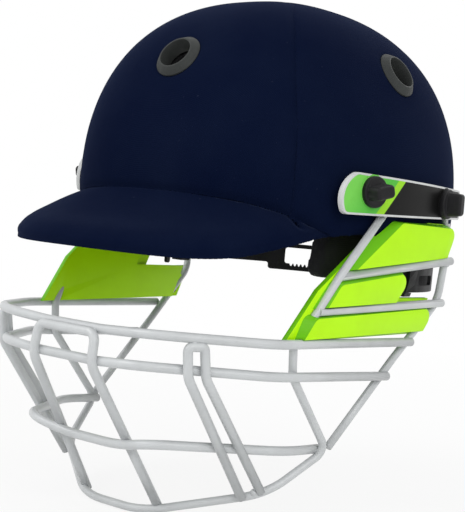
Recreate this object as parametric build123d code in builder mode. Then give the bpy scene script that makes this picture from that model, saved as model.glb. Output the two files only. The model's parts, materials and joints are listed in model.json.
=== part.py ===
from build123d import *
import os
from math import acos, cos, degrees, radians, sin, sqrt, tan

# A covered helmet with a welded face guard, ear guards and a geared nape adjuster.
# Millimetres. +Z is up, the face looks along -Y, the wearer's left side is +X.
# The origin is the middle of the shell's widest level.

os.makedirs("parts", exist_ok=True)

# Shell
half_width = 110.0
front_reach = 120.0
back_reach = 140.0
crown_height = 125.7
level_power = 2.355
front_power = 2.55
back_power = 2.15
cover_thickness = 1.2
shell_wall = 3.2
liner_thickness = 14.0
overrun = 2.0
dome_level_shares = (-0.49, -0.25, 0.0, 0.25, 0.48, 0.68, 0.83, 0.93, 0.985)
rim_drop = 38.0
rim_shares = (
    (-1.417, 1.0), (-1.25, 0.987), (-1.125, 0.921), (-0.983, 0.803), (-0.817, 0.684), (-0.633, 0.571),
    (-0.483, 0.505), (-0.383, 0.468), (0.0, 0.434), (0.25, 0.447), (0.5, 0.605), (0.65, 0.71),
    (0.875, 0.69), (1.167, 0.64),
)
seam_shares = ((-0.742, -0.091), (-0.728, 0.262), (-0.676, 0.538), (-0.528, 0.791), (-0.428, 0.879),
               (-0.192, 0.982), (-0.03, 1.05))

# Peak
peak_half_width = 99.4
peak_reach = 169.7
peak_middle = 88.6
peak_power = 2.49
peak_side_end = 30.0
peak_drop = 45.0
peak_level_shares = (
    (0.045, 0.583, 0.38), (0.124, 0.714, 0.412), (0.256, 0.865, 0.504), (0.433, 0.986, 0.677),
    (0.527, 0.998, 0.843), (0.6, 1.0, 0.942), (0.667, 1.0, 0.985), (0.756, 1.0, 1.0), (1.0, 1.0, 1.0),
)

# Vents
front_vent_height = 78.8
side_vent_height = 81.4
grommet_radius = 15.0
grommet_top_radius = 11.2
grommet_rise = 3.5
grommet_barrel_radius = 12.0
grommet_bore_radius = 10.2
grommet_lip_radius = 13.8
grommet_lip = 1.6
vent_clearance = 0.3

# Liner and comfort pads
liner_rim_step = 6.0
channel_width = 12.0
channel_depth = 4.0
channel_spacing = 34.0
pad_thickness = 9.0
pad_gap = 0.3
brow_pad_half_width = 60.0
brow_pad_top = 8.0
brow_pad_bottom = 23.0
rear_pad_half_width = 46.0
rear_pad_top = 22.0
rear_pad_bottom = 12.0
crown_pad_half_width = 36.0
crown_pad_half_length = 56.0
side_pad_front = 50.0
side_pad_back = 14.0
side_pad_top = 20.0
side_pad_bottom = 46.0
pad_corner = 9.0
pad_groove = 3.0

# Side strips and their fixings
strip_radius = 233.0
strip_thickness = 2.5
strip_stand_off = 6.1
strip_arc_middle = -1.0
strip_front = 72.0
strip_front_top = 62.5
strip_front_foot = 69.4
strip_back_top = 53.5
strip_back_foot = 59.0
strip_top = 17.9
strip_back_height = 14.6
strip_foot = 6.6
strip_back_depth = 3.9
strip_nose_height = 5.7
strip_corner = 4.0
strip_border = 1.2
strip_border_rise = 0.5
label_thickness = 0.4
boss_radius = 4.0
pad_disc_radius = 9.9
pad_disc_rise = 0.6
front_screw = (-49.9, 7.5)
rear_screw = (27.9, 5.1)
shank_radius = 3.0
running_clearance = 0.06
screw_flange_radius = 9.25
screw_flange = 3.0
wing_width = 15.0
wing_length = 8.5
wing_root = 9.0
wing_tip = 7.5
wing_taper_share = 0.9
front_wing_turn = 14.0
rear_wing_turn = 92.0
nut_flange_radius = 8.5
nut_flange = 1.6
nut_barrel_radius = 4.2

# Face guard
guard_half_width = 102.0
guard_reach = 172.0
guard_drop = 190.0
bar_diameter = 5.5
frame_diameter = 4.9
side_bar_diameter = 5.2
loop_diameter = 3.4
bend_radius = 60.0
run_share = 0.47
loop_top = 13.6
loop_foot = 1.3
loop_front = 62.0
loop_back = 50.0
loop_depth_share = 0.6
front_stay_top = 0.17
stay_flat_height = -6.9
rear_stay_top = 0.256

# Each row of shares is sideways, forward and down, of the three guard sizes above.
top_bar_shares = ((1.057, -0.107, 0.434), (1.0, 0.65, 0.428), (0.646, 0.985, 0.418), (0.216, 0.986, 0.43))
second_bar_shares = ((1.031, 0.012, 0.544), (0.985, 0.633, 0.525), (0.543, 1.002, 0.512),
                     (0.216, 0.997, 0.523))
third_bar_shares = ((0.902, 0.294, 0.771), (0.905, 0.481, 0.764), (0.482, 0.885, 0.751),
                    (0.216, 0.856, 0.783))
bar_radius_shares = (0.75, 1.3, 2.0)
frame_shares = ((1.091, 0.195, 0.031), (1.044, 0.38, 0.225), (1.015, 0.46, 0.329), (0.956, 0.534, 0.429),
                (0.956, 0.523, 0.53), (0.952, 0.284, 0.771), (0.809, 0.488, 0.903), (0.235, 0.723, 0.997))
frame_radius_shares = (0.3, 0.5, 0.5, 0.12, 0.12, 0.12, 0.75, 0.75)
rear_stay_shares = ((1.078, -0.262, 0.037), (1.069, -0.281, 0.179), (1.044, -0.283, 0.3),
                    (1.02, -0.152, 0.407), (1.0, -0.044, 0.495), (0.961, 0.282, 0.761))
rear_stay_radius_shares = (0.3, 0.3, 0.3, 0.5, 0.5)
upper_side_bar_shares = ((1.039, 0.376, 0.225), (1.104, -0.292, 0.161))
lower_side_bar_shares = ((1.02, 0.465, 0.332), (1.081, -0.278, 0.304))
centre_hairpin_shares = ((0.222, 1.013, 0.44), (0.23, 1.025, 0.533), (0.293, 0.676, 0.99))
side_hairpin_shares = (((0.735, 0.909, 0.446), (0.735, 0.896, 0.535), (0.716, 0.551, 0.921)),
                       ((0.784, 0.862, 0.444), (0.784, 0.843, 0.536), (0.78, 0.499, 0.9)))
hairpin_corner = 5.5
kink_radius = 14.0

# Ear guards
ear_backing = 3.0
ear_backing_depth = 4.5
ear_block_rise = 3.5
ear_foot_depth = 2.25
ear_corner = 6.0
ear_clearance = 0.15
ear_shell_gap = 1.0
ear_plane_shares = ((1.043, 0.349, 0.2105), (1.0745, -0.2616, 0.158), (1.0147, 0.0, 0.421))
ear_panel_shares = (
    ((0.078, 0.045), (-0.292, 0.051), (-0.26, 0.15), (0.308, 0.198)),
    ((0.38, 0.247), (-0.051, 0.202), (0.03, 0.301), (0.435, 0.316)),
    ((0.487, 0.35), (-0.244, 0.32), (-0.185, 0.397), (0.535, 0.413)),
)
ear_foot_shares = (
    ((0.132, 0.042), (-0.303, 0.042), (-0.272, 0.162), (0.383, 0.212)),
    ((0.415, 0.237), (-0.065, 0.192), (0.018, 0.313), (0.49, 0.326)),
    ((0.525, 0.342), (-0.26, 0.31), (-0.196, 0.409), (0.555, 0.422)),
)
ear_backing_shares = (
    (0.14, 0.041), (-0.27, 0.041), (-0.235, 0.17), (0.02, 0.178), (0.075, 0.292), (-0.225, 0.292),
    (-0.152, 0.411), (0.602, 0.425), (0.47, 0.27),
)

# Nape adjuster
ring_centre = 28.0
ring_height = -42.5
band_inner_radius = 93.6
band_wall = 2.2
band_gap = 0.25
band_half_height = 10.0
tail_toothed_side = 5.0
tail_web = 4.3
tooth_pitch = 3.0
pinion_teeth = 12
foot_share = 0.9
pressure_angle = 25.0
addendum = 0.75
dedendum = 1.05
backlash = 0.4
window_plain_side = 7.0
window_start = -4.9
window_end = 37.5
band_start = -8.4
band_shoulder = 45.0
band_end = 102.6
stop_start = 99.9
vent_slot_start = 68.0
vent_slot_end = 84.0
gap_numbers = range(-2, 20)
band_corner = 2.0
housing_angle = 16.4
housing_half_height = 13.0
housing_wall = 2.5
housing_inner_wall = 2.75
housing_corner = 3.0
gear_face = 4.3
gear_lift = 0.1
shaft_radius = 4.0
pivot_radius = 2.5
pivot_depth = 1.8
dial_radius = 13.0
dial_length = 8.2
dial_gap = 0.3
dial_scallops = 12
scallop_radius = 1.6
dial_recess = 1.2
dial_recess_share = 0.6
nape_pad_thickness = 8.0
hanger_leg = 2.5
hanger_plate = 2.4
hanger_lean = 1.2
hanger_reach = 15.5
nape_hanger_half_width = 12.0
nape_hanger_top = 4.0
side_hanger_start = 87.7
side_hanger_end = 93.5
side_hanger_wall = 2.4
side_hanger_drop = 4.6
side_hanger_foot = 15.0
guide_clearance = 0.4
rivet_radius = 1.8
rivet_head_radius = 3.4
rivet_head = 1.0
rivet_drop = 9.2
rivet_spread_share = 0.6
rivet_seat = 0.08
end_turn = 1.0

# Worked out from the sizes above
shell_inset = cover_thickness
liner_inset = cover_thickness + shell_wall
pad_inset = liner_inset + liner_thickness + pad_gap
strip_axis_x = half_width + strip_stand_off + strip_thickness - strip_radius
strip_inner_radius = strip_radius - strip_thickness
loop_radius = strip_inner_radius - (strip_stand_off - strip_thickness / 2) * loop_depth_share
pinion_radius = tooth_pitch * pinion_teeth / radians(360)
pinion_tip = pinion_radius + addendum
pinion_root = pinion_radius - dedendum - band_gap / 5
band_outer_radius = band_inner_radius + band_wall + band_gap
housing_radius = band_inner_radius - band_gap
cavity_radius = band_outer_radius + band_wall + band_gap
housing_outer_radius = cavity_radius + housing_wall


def level_width(height, top):
    """Width of the dome at a height, as a share of its widest level."""
    return (1 - (abs(height) / top) ** level_power) ** (1 / level_power)


def handle_share(power):
    """Bezier handle, as a share of the half axis, of a quarter superellipse."""
    return (8 * 0.5 ** (1 / power) - 4) / 3


def quarter(side, end, power, middle=0.0):
    """Quarter superellipse from the side point (side, middle) to the end point on the axis."""
    handle = handle_share(power)
    reach = end - middle
    Bezier((side, middle), (side, middle + handle * reach), (handle * side, end), (0, end))


def dome(inset):
    """Solid dome of the covered shell, drawn in by an even inset."""
    top = crown_height - inset
    sections = []
    for share in dome_level_shares:
        width = level_width(share * top, top)
        side = (half_width - inset) * width
        front = -(front_reach - inset) * width
        back = (back_reach - inset) * width
        with BuildSketch(Plane.XY.offset(share * top)) as level:
            with BuildLine():
                quarter(side, back, back_power)
                quarter(-side, back, back_power)
                quarter(-side, front, front_power)
                quarter(side, front, front_power)
            make_face()
        sections.append(level.sketch)
    with BuildPart() as body:
        loft(sections + [Vertex(0, 0, top)])
    return body.part


def peak(inset):
    """Solid block of the peak: its top follows the peak's crown, its front is the lip."""
    sections = []
    back = inset - peak_side_end
    for depth_share, width_share, reach_share in peak_level_shares:
        side = peak_half_width * width_share - inset
        front = -peak_middle - (peak_reach - peak_middle) * reach_share + inset
        with BuildSketch(Plane.XY.offset(-peak_drop * depth_share - inset)) as level:
            with BuildLine():
                Line((side, back), (-side, back))
                Line((side, back), (side, -peak_middle))
                Line((-side, back), (-side, -peak_middle))
                quarter(side, front, peak_power, -peak_middle)
                quarter(-side, front, peak_power, -peak_middle)
            make_face()
        sections.append(level.sketch)
    with BuildPart() as body:
        loft(sections, ruled=True)
    return body.part


def side_profile(points, far_side):
    """Slab across the helmet whose lower edge is a smooth curve seen from the side."""
    with BuildPart() as slab:
        with BuildSketch(Plane.YZ):
            with BuildLine():
                curve = Spline(*points)
                Polyline(curve @ 1, far_side[1], far_side[0], curve @ 0)
            make_face()
        extrude(amount=half_width * 2, both=True)
    return slab.part


def above_rim(lift):
    """Everything above the helmet's lower edge, raised by a lift."""
    points = [(front_reach * along, lift - rim_drop * down) for along, down in rim_shares]
    points[0] = (-peak_reach - overrun, points[0][1])
    points[-1] = (back_reach + overrun, points[-1][1])
    top = crown_height + overrun
    return side_profile(points, [(points[0][0], top), (points[-1][0], top)])


def ahead_of_seam():
    """Everything in front of the seam that runs over the crown from side to side."""
    points = [(front_reach * along, crown_height * up) for along, up in seam_shares]
    bottom = -peak_drop - overrun
    points.insert(0, (points[0][0], bottom))
    corners = [(-peak_reach - overrun, bottom), (-peak_reach - overrun, points[-1][1])]
    return side_profile(points, corners)


dome_outside = dome(0)
dome_shell = dome(shell_inset)
dome_inside = dome(liner_inset)
dome_liner = dome(liner_inset + liner_thickness)
dome_channel = dome(liner_inset + liner_thickness - channel_depth)
dome_pad = dome(pad_inset)
dome_pad_inside = dome(pad_inset + pad_thickness)
peak_outside = peak(0)
peak_shell = peak(shell_inset)
peak_inside = peak(liner_inset)
rim = above_rim(0)
front_half = ahead_of_seam()


def vent_plane(across, along, reach, height):
    """Plane on the dome at a vent's centre, facing straight out of the surface."""
    width = level_width(height, crown_height)
    outward = width ** (level_power - 1) / reach
    upward = (height / crown_height) ** (level_power - 1) / crown_height
    return Plane(origin=(across * reach * width, along * reach * width, height),
                 z_dir=(across * outward, along * outward, upward))


vents = {
    "vent_front": vent_plane(0, -1, front_reach, front_vent_height),
    "vent_back": vent_plane(0, 1, back_reach, front_vent_height),
    "vent_left": vent_plane(1, 0, half_width, side_vent_height),
    "vent_right": vent_plane(-1, 0, half_width, side_vent_height),
}


def strip_plane(along, height, tilt):
    """Plane on a side strip's arc, facing straight out, with its x direction tilted up from level."""
    slope = (along - strip_arc_middle) / strip_radius
    level = sqrt(1 - slope ** 2)
    run = cos(radians(tilt))
    return Plane(origin=(strip_axis_x + strip_radius * level, along, height),
                 x_dir=(-slope * run, level * run, sin(radians(tilt))), z_dir=(level, slope, 0))


screw_planes = {
    "front": strip_plane(*front_screw, front_wing_turn),
    "rear": strip_plane(*rear_screw, rear_wing_turn),
}


def pin(plane, radius, low, high):
    """Round pin on a plane's own axis between two heights over the plane."""
    with BuildPart() as body:
        with BuildSketch(plane.offset(low)):
            Circle(radius)
        extrude(amount=high - low)
    return body.part


def mirrored(piece):
    """The same piece on the wearer's right side."""
    with BuildPart() as body:
        mirror(piece, about=Plane.YZ)
    return body.part


fixing_reach = strip_radius - strip_inner_radius + strip_stand_off + cover_thickness + shell_wall
screw_holes = [pin(plane, shank_radius + vent_clearance, -fixing_reach * 2, 0)
               for plane in screw_planes.values()]
nut_holes = [pin(plane, nut_barrel_radius, -fixing_reach * 2, 0) for plane in screw_planes.values()]

nape_hanger_back = back_reach - liner_inset
hanger_middle = ring_centre + cavity_radius * cos(radians(side_hanger_start + side_hanger_end) / 2)
hanger_width = cavity_radius * radians(side_hanger_end - side_hanger_start)
rivet_planes = [
    Plane(origin=(cavity_radius, hanger_middle, -rivet_drop), x_dir=(0, 1, 0), z_dir=(1, 0, 0)),
    Plane(origin=(-cavity_radius, hanger_middle, -rivet_drop), x_dir=(0, -1, 0), z_dir=(-1, 0, 0)),
] + [Plane(origin=(side * nape_hanger_half_width * rivet_spread_share,
                   nape_hanger_back - hanger_plate - hanger_lean, -rivet_drop * 1.6), x_dir=(-1, 0, 0),
           z_dir=(0, 1, 0)) for side in (-1, 1)]
rivet_length = liner_inset * 4
rivet_holes = [pin(plane, rivet_radius, -rivet_head / 2, rivet_length) for plane in rivet_planes]

# Outer shell: one moulding with the dome and the peak
with BuildPart() as shell:
    add(dome_shell)
    add(peak_shell)
    add(dome_inside, mode=Mode.SUBTRACT)
    add(peak_inside, mode=Mode.SUBTRACT)
    add(rim, mode=Mode.INTERSECT)
    for plane in vents.values():
        add(pin(plane, grommet_barrel_radius, -half_width / 4, overrun), mode=Mode.SUBTRACT)
    for hole in nut_holes:
        add(hole, mode=Mode.SUBTRACT)
        add(mirrored(hole), mode=Mode.SUBTRACT)
    for hole in rivet_holes:
        add(hole, mode=Mode.SUBTRACT)
shell.part.label = "shell"
export_step(shell.part, "parts/shell.step")

# Cloth cover in three pieces, which meet at the seam and at the peak's crease
for label in ("cover_front", "cover_rear"):
    with BuildPart() as cover:
        add(dome_outside)
        add(dome_shell, mode=Mode.SUBTRACT)
        add(peak_outside, mode=Mode.SUBTRACT)
        add(rim, mode=Mode.INTERSECT)
        add(front_half, mode=Mode.INTERSECT if label == "cover_front" else Mode.SUBTRACT)
        for plane in vents.values():
            add(pin(plane, grommet_barrel_radius, -half_width / 4, overrun), mode=Mode.SUBTRACT)
        for hole in screw_holes:
            add(hole, mode=Mode.SUBTRACT)
            add(mirrored(hole), mode=Mode.SUBTRACT)
        add(cover.solids().sort_by(SortBy.VOLUME)[-1], mode=Mode.INTERSECT)
    cover.part.label = label
    export_step(cover.part, f"parts/{label}.step")

with BuildPart() as cover_peak:
    add(peak_outside)
    add(dome_shell, mode=Mode.SUBTRACT)
    add(peak_shell, mode=Mode.SUBTRACT)
    add(rim, mode=Mode.INTERSECT)
cover_peak.part.label = "cover_peak"
export_step(cover_peak.part, "parts/cover_peak.step")


def inside_ring(plane, radius, bore, depth):
    """Ring on a plane's axis that lies against the inside of the shell, up to a depth."""
    with BuildPart() as ring:
        add(pin(plane, radius, -depth, 0))
        add(pin(plane, bore, -depth - overrun, overrun), mode=Mode.SUBTRACT)
        add(dome_inside, mode=Mode.INTERSECT)
    return ring.part


def within(piece, room):
    """The part of a piece that lies within a room."""
    with BuildPart() as body:
        add(piece)
        add(room, mode=Mode.INTERSECT)
    return body.part


# Grommets: a coned flange outside, a barrel through the wall and a lip inside
grommet_depth = liner_inset + grommet_lip + overrun / 2
for label, plane in vents.items():
    with BuildPart() as grommet:
        with BuildSketch(plane.offset(-grommet_rise)):
            Circle(grommet_radius)
        with BuildSketch(plane):
            Circle(grommet_radius)
        with BuildSketch(plane.offset(grommet_rise)):
            Circle(grommet_top_radius)
        loft(ruled=True)
        add(dome_outside, mode=Mode.SUBTRACT)
        add(pin(plane, grommet_barrel_radius, -grommet_depth, grommet_rise / 2))
        add(pin(plane, grommet_bore_radius, -half_width / 4, half_width / 4), mode=Mode.SUBTRACT)
        add(inside_ring(plane, grommet_lip_radius, grommet_bore_radius, grommet_depth))
    grommet.part.label = label
    export_step(grommet.part, f"parts/{label}.step")

# Threaded nuts behind the shell, four alike in one group
nut_depth = strip_thickness + strip_stand_off + liner_inset + nut_flange + overrun / 2
with BuildPart() as strip_nuts:
    for plane in screw_planes.values():
        add(inside_ring(plane, nut_flange_radius, shank_radius, nut_depth))
        add(within(pin(plane, nut_barrel_radius, -nut_depth, 0), dome_shell))
    for plane in screw_planes.values():
        add(pin(plane, shank_radius + running_clearance, -nut_depth * 2, overrun), mode=Mode.SUBTRACT)
    mirror(about=Plane.YZ)
strip_nuts.part.label = "strip_nuts"
export_step(strip_nuts.part, "parts/strip_nuts.step")

# Impact liner: thick foam shell with air channels, vent bores and pockets for what stands behind it
liner_rim = above_rim(liner_rim_step)
with BuildPart() as channel_bars:
    with BuildSketch():
        with GridLocations(channel_spacing, 0, 3, 1):
            Rectangle(channel_width, back_reach * 2)
    extrude(amount=crown_height)
channels = within(channel_bars.part, dome_channel)
with BuildPart() as impact_liner:
    add(dome_inside)
    add(dome_liner, mode=Mode.SUBTRACT)
    add(liner_rim, mode=Mode.INTERSECT)
    add(channels, mode=Mode.SUBTRACT)
    for plane in vents.values():
        add(pin(plane, grommet_lip_radius + vent_clearance, -grommet_depth - overrun, overrun),
            mode=Mode.SUBTRACT)
        add(pin(plane, grommet_bore_radius, -half_width / 2, overrun), mode=Mode.SUBTRACT)
    for plane in screw_planes.values():
        hollow = pin(plane, nut_flange_radius + vent_clearance, -nut_depth - overrun * 2, 0)
        add(hollow, mode=Mode.SUBTRACT)
        add(mirrored(hollow), mode=Mode.SUBTRACT)
    with BuildSketch(Plane.XY.offset(-peak_drop)):
        with Locations((0, nape_hanger_back)):
            Rectangle((nape_hanger_half_width + vent_clearance) * 2,
                      (hanger_plate + vent_clearance + overrun) * 2)
    extrude(amount=peak_drop - nape_hanger_top + vent_clearance, mode=Mode.SUBTRACT)
    with BuildSketch(Plane.XY.offset(-peak_drop)):
        with Locations((0, hanger_middle)):
            Rectangle(half_width * 4, hanger_width + overrun)
            Rectangle((cavity_radius - rivet_head - vent_clearance) * 2, back_reach, mode=Mode.SUBTRACT)
    extrude(amount=peak_drop - side_hanger_drop + vent_clearance, mode=Mode.SUBTRACT)
impact_liner.part.label = "impact_liner"
export_step(impact_liner.part, "parts/impact_liner.step")


def inner_pad(plane, width, height, reach, grooves):
    """Cushion against the liner: drawn-in sides, rounded corners and grooves in its face."""
    with BuildPart() as groove_bars:
        with BuildSketch(plane):
            with GridLocations(width / (grooves + 1), 0, grooves, 1):
                Rectangle(pad_groove, height * 2)
        extrude(amount=reach)
    with BuildPart() as body:
        with BuildSketch(plane):
            RectangleRounded(width, height, pad_corner)
        extrude(amount=reach)
        add(dome_pad, mode=Mode.INTERSECT)
        add(dome_pad_inside, mode=Mode.SUBTRACT)
        add(within(groove_bars.part, dome_groove), mode=Mode.SUBTRACT)
    return body.part


# Comfort pads behind the brow, over the crown, at the back and at both temples
dome_groove = dome(pad_inset + pad_thickness / 2)
pads = {
    "brow_pad": inner_pad(Plane(origin=(0, 0, (brow_pad_top - brow_pad_bottom) / 2), x_dir=(1, 0, 0),
                                z_dir=(0, -1, 0)),
                          brow_pad_half_width * 2, brow_pad_top + brow_pad_bottom, front_reach, 3),
    "rear_pad": inner_pad(Plane(origin=(0, 0, (rear_pad_top - rear_pad_bottom) / 2), x_dir=(-1, 0, 0),
                                z_dir=(0, 1, 0)),
                          rear_pad_half_width * 2, rear_pad_top + rear_pad_bottom, back_reach, 2),
    "crown_pad": inner_pad(Plane.XY, crown_pad_half_width * 2, crown_pad_half_length * 2,
                           crown_height, 1),
    "side_pad_left": inner_pad(Plane(origin=(0, (side_pad_back - side_pad_front) / 2,
                                             (side_pad_top - side_pad_bottom) / 2),
                                     x_dir=(0, 1, 0), z_dir=(1, 0, 0)),
                               side_pad_front + side_pad_back, side_pad_top + side_pad_bottom,
                               half_width, 1),
}
for label, solid in pads.items():
    with BuildPart() as pad:
        add(solid)
    pad.part.label = label
    export_step(pad.part, f"parts/{label}.step")


# Side strip: a curved plate that stands off the cover on two bosses, with a raised border
with BuildSketch(Plane.YZ) as strip_face:
    with BuildLine():
        Polyline((-strip_front_top, strip_top), (strip_back_top, strip_back_height),
                 (strip_back_foot, -strip_back_depth), (-strip_front_foot, -strip_foot))
        ThreePointArc((-strip_front_foot, -strip_foot), (-strip_front, strip_nose_height),
                      (-strip_front_top, strip_top))
    make_face()
    fillet(strip_face.vertices(), strip_corner)
with BuildSketch(Plane.YZ) as strip_panel:
    add(strip_face.sketch_local)
    offset(amount=-strip_border, mode=Mode.REPLACE)


def strip_layer(faces, inner, outer):
    """Part of the strip's arc between two radii, with the outline of the given faces."""
    with BuildPart() as layer:
        with BuildSketch(Plane.XY.offset(-strip_top * 2)):
            with Locations((strip_axis_x, strip_arc_middle)):
                Circle(outer)
                Circle(inner, mode=Mode.SUBTRACT)
        extrude(amount=strip_top * 4)
        extrude(faces, amount=half_width * 2, mode=Mode.INTERSECT)
    return layer.part


with BuildPart() as side_strip_left:
    add(strip_layer(strip_face.sketch, strip_inner_radius, strip_radius + strip_border_rise))
    add(strip_layer(strip_panel.sketch, strip_radius, strip_radius + strip_border_rise * 2),
        mode=Mode.SUBTRACT)
    for plane in screw_planes.values():
        add(pin(plane, pad_disc_radius, -strip_thickness / 2, pad_disc_rise))
        add(pin(plane, boss_radius, -strip_thickness - strip_stand_off - overrun, -strip_thickness / 2))
    add(dome_outside, mode=Mode.SUBTRACT)
    for plane in screw_planes.values():
        add(pin(plane, shank_radius + running_clearance, -half_width / 4, overrun * 2), mode=Mode.SUBTRACT)
side_strip_left.part.label = "side_strip_left"
export_step(side_strip_left.part, "parts/side_strip_left.step")

with BuildPart() as strip_label_left:
    add(strip_layer(strip_panel.sketch, strip_radius, strip_radius + label_thickness))
    for plane in screw_planes.values():
        add(pin(plane, pad_disc_radius + running_clearance, -overrun, overrun), mode=Mode.SUBTRACT)
    add(strip_label_left.solids().sort_by(SortBy.VOLUME)[-1], mode=Mode.INTERSECT)
strip_label_left.part.label = "strip_label_left"
export_step(strip_label_left.part, "parts/strip_label_left.step")

# Wing screws, four alike: flange, finger tab and shank
screw_reach = strip_thickness + strip_stand_off + liner_inset + nut_flange + overrun
wing_screws = {}
for place, plane in screw_planes.items():
    seat = pad_disc_rise + running_clearance
    with BuildPart() as wing_screw:
        add(pin(plane, screw_flange_radius, seat, seat + screw_flange))
        fillet(wing_screw.faces().sort_by(Axis(plane.origin, plane.z_dir))[-1].edges(), screw_flange / 3)
        with BuildSketch(plane.offset(seat + screw_flange / 2)):
            RectangleRounded(wing_width, wing_root, wing_root / 3)
        with BuildSketch(plane.offset(seat + screw_flange + wing_length)):
            RectangleRounded(wing_width * wing_taper_share, wing_tip, wing_tip / 3)
        loft()
        fillet(wing_screw.faces().sort_by(Axis(plane.origin, plane.z_dir))[-1].edges(), wing_tip / 4)
        add(pin(plane, shank_radius, -screw_reach, seat + screw_flange / 2))
    label = f"wing_screw_{place}_left"
    wing_screws[label] = wing_screw
    wing_screw.part.label = label
    export_step(wing_screw.part, f"parts/{label}.step")


def guard_point(shares):
    """Point of the face guard from its sideways, forward and down shares."""
    across, forward, down = shares
    return (guard_half_width * across, -guard_reach * forward, -guard_drop * down)


def bends(points, radii):
    """Bend radii, each no larger than the runs beside its corner leave room for."""
    runs = [Vector(*end) - Vector(*start) for start, end in zip(points, points[1:])]
    rooms = [min(before.length, after.length) * run_share / tan(radians(before.get_angle(after)) / 2)
             for before, after in zip(runs, runs[1:])]
    return [min(radius, room) for radius, room in zip(radii, rooms)]


def rod(points, radii, diameter):
    """Round bar along straight runs joined by bends, a radius for each corner."""
    with BuildPart() as body:
        with BuildLine() as route:
            if radii:
                FilletPolyline(*points, radius=bends(points, radii))
            else:
                Line(*points)
        with BuildSketch(Plane(origin=route.line @ 0, z_dir=route.line % 0)):
            Circle(diameter / 2)
        sweep(path=route.line)
    return body.part


def coped(bar, neighbours):
    """A bar whose welds are cut to fit the bars that it lies against, without any loose chips."""
    with BuildPart() as body:
        add(bar)
        for neighbour in neighbours:
            add(neighbour, mode=Mode.SUBTRACT)
    return body.part.solids().sort_by(SortBy.VOLUME)[-1]


def across_route(shares, radii):
    """Route of a bar that runs round the face from one side to the other."""
    half = [guard_point(row) for row in shares]
    other = [(-x, y, z) for x, y, z in reversed(half)]
    return half + other, radii + radii[::-1]


def loop_point(along, height, radius):
    """Point on the mounting loop's arc, seen from above."""
    return (strip_axis_x + sqrt(radius ** 2 - (along - strip_arc_middle) ** 2), along, height)


# Mounting loops: flat rings of wire behind the side strips, which the fixing bosses pass through
loop_half_height = (loop_top + loop_foot) / 2
loop_middle = (loop_top - loop_foot) / 2
with BuildPart() as loop_outline:
    with BuildSketch(Plane.YZ):
        with Locations(((loop_back - loop_front) / 2, loop_middle)):
            SlotOverall(loop_front + loop_back + loop_diameter, loop_half_height * 2 + loop_diameter)
            SlotOverall(loop_front + loop_back - loop_diameter, loop_half_height * 2 - loop_diameter,
                        mode=Mode.SUBTRACT)
    extrude(amount=half_width * 2)
with BuildPart() as loop_band:
    with BuildSketch(Plane.XY.offset(loop_middle - loop_half_height - loop_diameter)):
        with Locations((strip_axis_x, strip_arc_middle)):
            Circle(loop_radius + loop_diameter / 2)
            Circle(loop_radius - loop_diameter / 2, mode=Mode.SUBTRACT)
    extrude(amount=(loop_half_height + loop_diameter) * 2)
with BuildPart() as mounting_loop_left:
    add(loop_outline.part)
    add(loop_band.part, mode=Mode.INTERSECT)
    ring_edges = mounting_loop_left.edges().filter_by(lambda edge: edge.length > loop_diameter * 2)
    fillet(ring_edges, loop_diameter / 4)
mounting_loop_left.part.label = "mounting_loop_left"
export_step(mounting_loop_left.part, "parts/mounting_loop_left.step")

# Frame rod: from the left loop down the front stay, round the chin and up to the right loop
loop_bottom = loop_point(-front_stay_top * guard_reach, loop_middle - loop_half_height, loop_radius)
frame_half = [loop_bottom] + [guard_point(row) for row in frame_shares]
frame_route = frame_half + [(-x, y, z) for x, y, z in reversed(frame_half)]
frame_radii = [bend_radius * share for share in frame_radius_shares]
frame_bar = rod(frame_route, frame_radii + frame_radii[::-1], frame_diameter)
with BuildPart() as stay_flats:
    with BuildSketch(Plane.XY.offset(stay_flat_height)):
        with Locations((strip_axis_x, strip_arc_middle)):
            Circle(strip_radius + frame_diameter)
            Circle(loop_radius + loop_diameter / 2, mode=Mode.SUBTRACT)
        with Locations((strip_axis_x, strip_arc_middle)):
            Circle(loop_radius - loop_diameter / 2)
            Circle(loop_radius - frame_diameter * 2, mode=Mode.SUBTRACT)
    extrude(amount=loop_top)
with BuildPart() as frame_rod:
    add(coped(frame_bar, [stay_flats.part, mirrored(stay_flats.part), mounting_loop_left.part,
                          mirrored(mounting_loop_left.part)]))
frame_rod.part.label = "frame_rod"
export_step(frame_rod.part, "parts/frame_rod.step")

# Bars that run round the face, each bent from one rod
bar_radii = [bend_radius * share for share in bar_radius_shares]
face_bars = {}
for label, shares in (("top_bar", top_bar_shares), ("second_bar", second_bar_shares),
                      ("third_bar", third_bar_shares)):
    route, radii = across_route(shares, bar_radii)
    with BuildPart() as face_bar:
        add(coped(rod(route, radii, bar_diameter), [frame_rod.part]))
    face_bars[label] = face_bar
    face_bar.part.label = label
    export_step(face_bar.part, f"parts/{label}.step")

crossed = [frame_rod.part] + [bar.part for bar in face_bars.values()]

# Hairpins that cross the bars: two runs joined by a short bridge at the top
centre_run = [guard_point(row) for row in centre_hairpin_shares]
centre_route = centre_run[::-1] + [(-x, y, z) for x, y, z in centre_run]
with BuildPart() as centre_hairpin:
    add(coped(rod(centre_route, [kink_radius, hairpin_corner, hairpin_corner, kink_radius],
                  bar_diameter), crossed))
centre_hairpin.part.label = "centre_hairpin"
export_step(centre_hairpin.part, "parts/centre_hairpin.step")

inner_run, outer_run = ([guard_point(row) for row in rows] for rows in side_hairpin_shares)
with BuildPart() as side_hairpin_left:
    add(coped(rod(inner_run[::-1] + outer_run,
                  [kink_radius, hairpin_corner / 2, hairpin_corner / 2, kink_radius], bar_diameter),
              crossed))
side_hairpin_left.part.label = "side_hairpin_left"
export_step(side_hairpin_left.part, "parts/side_hairpin_left.step")

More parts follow.
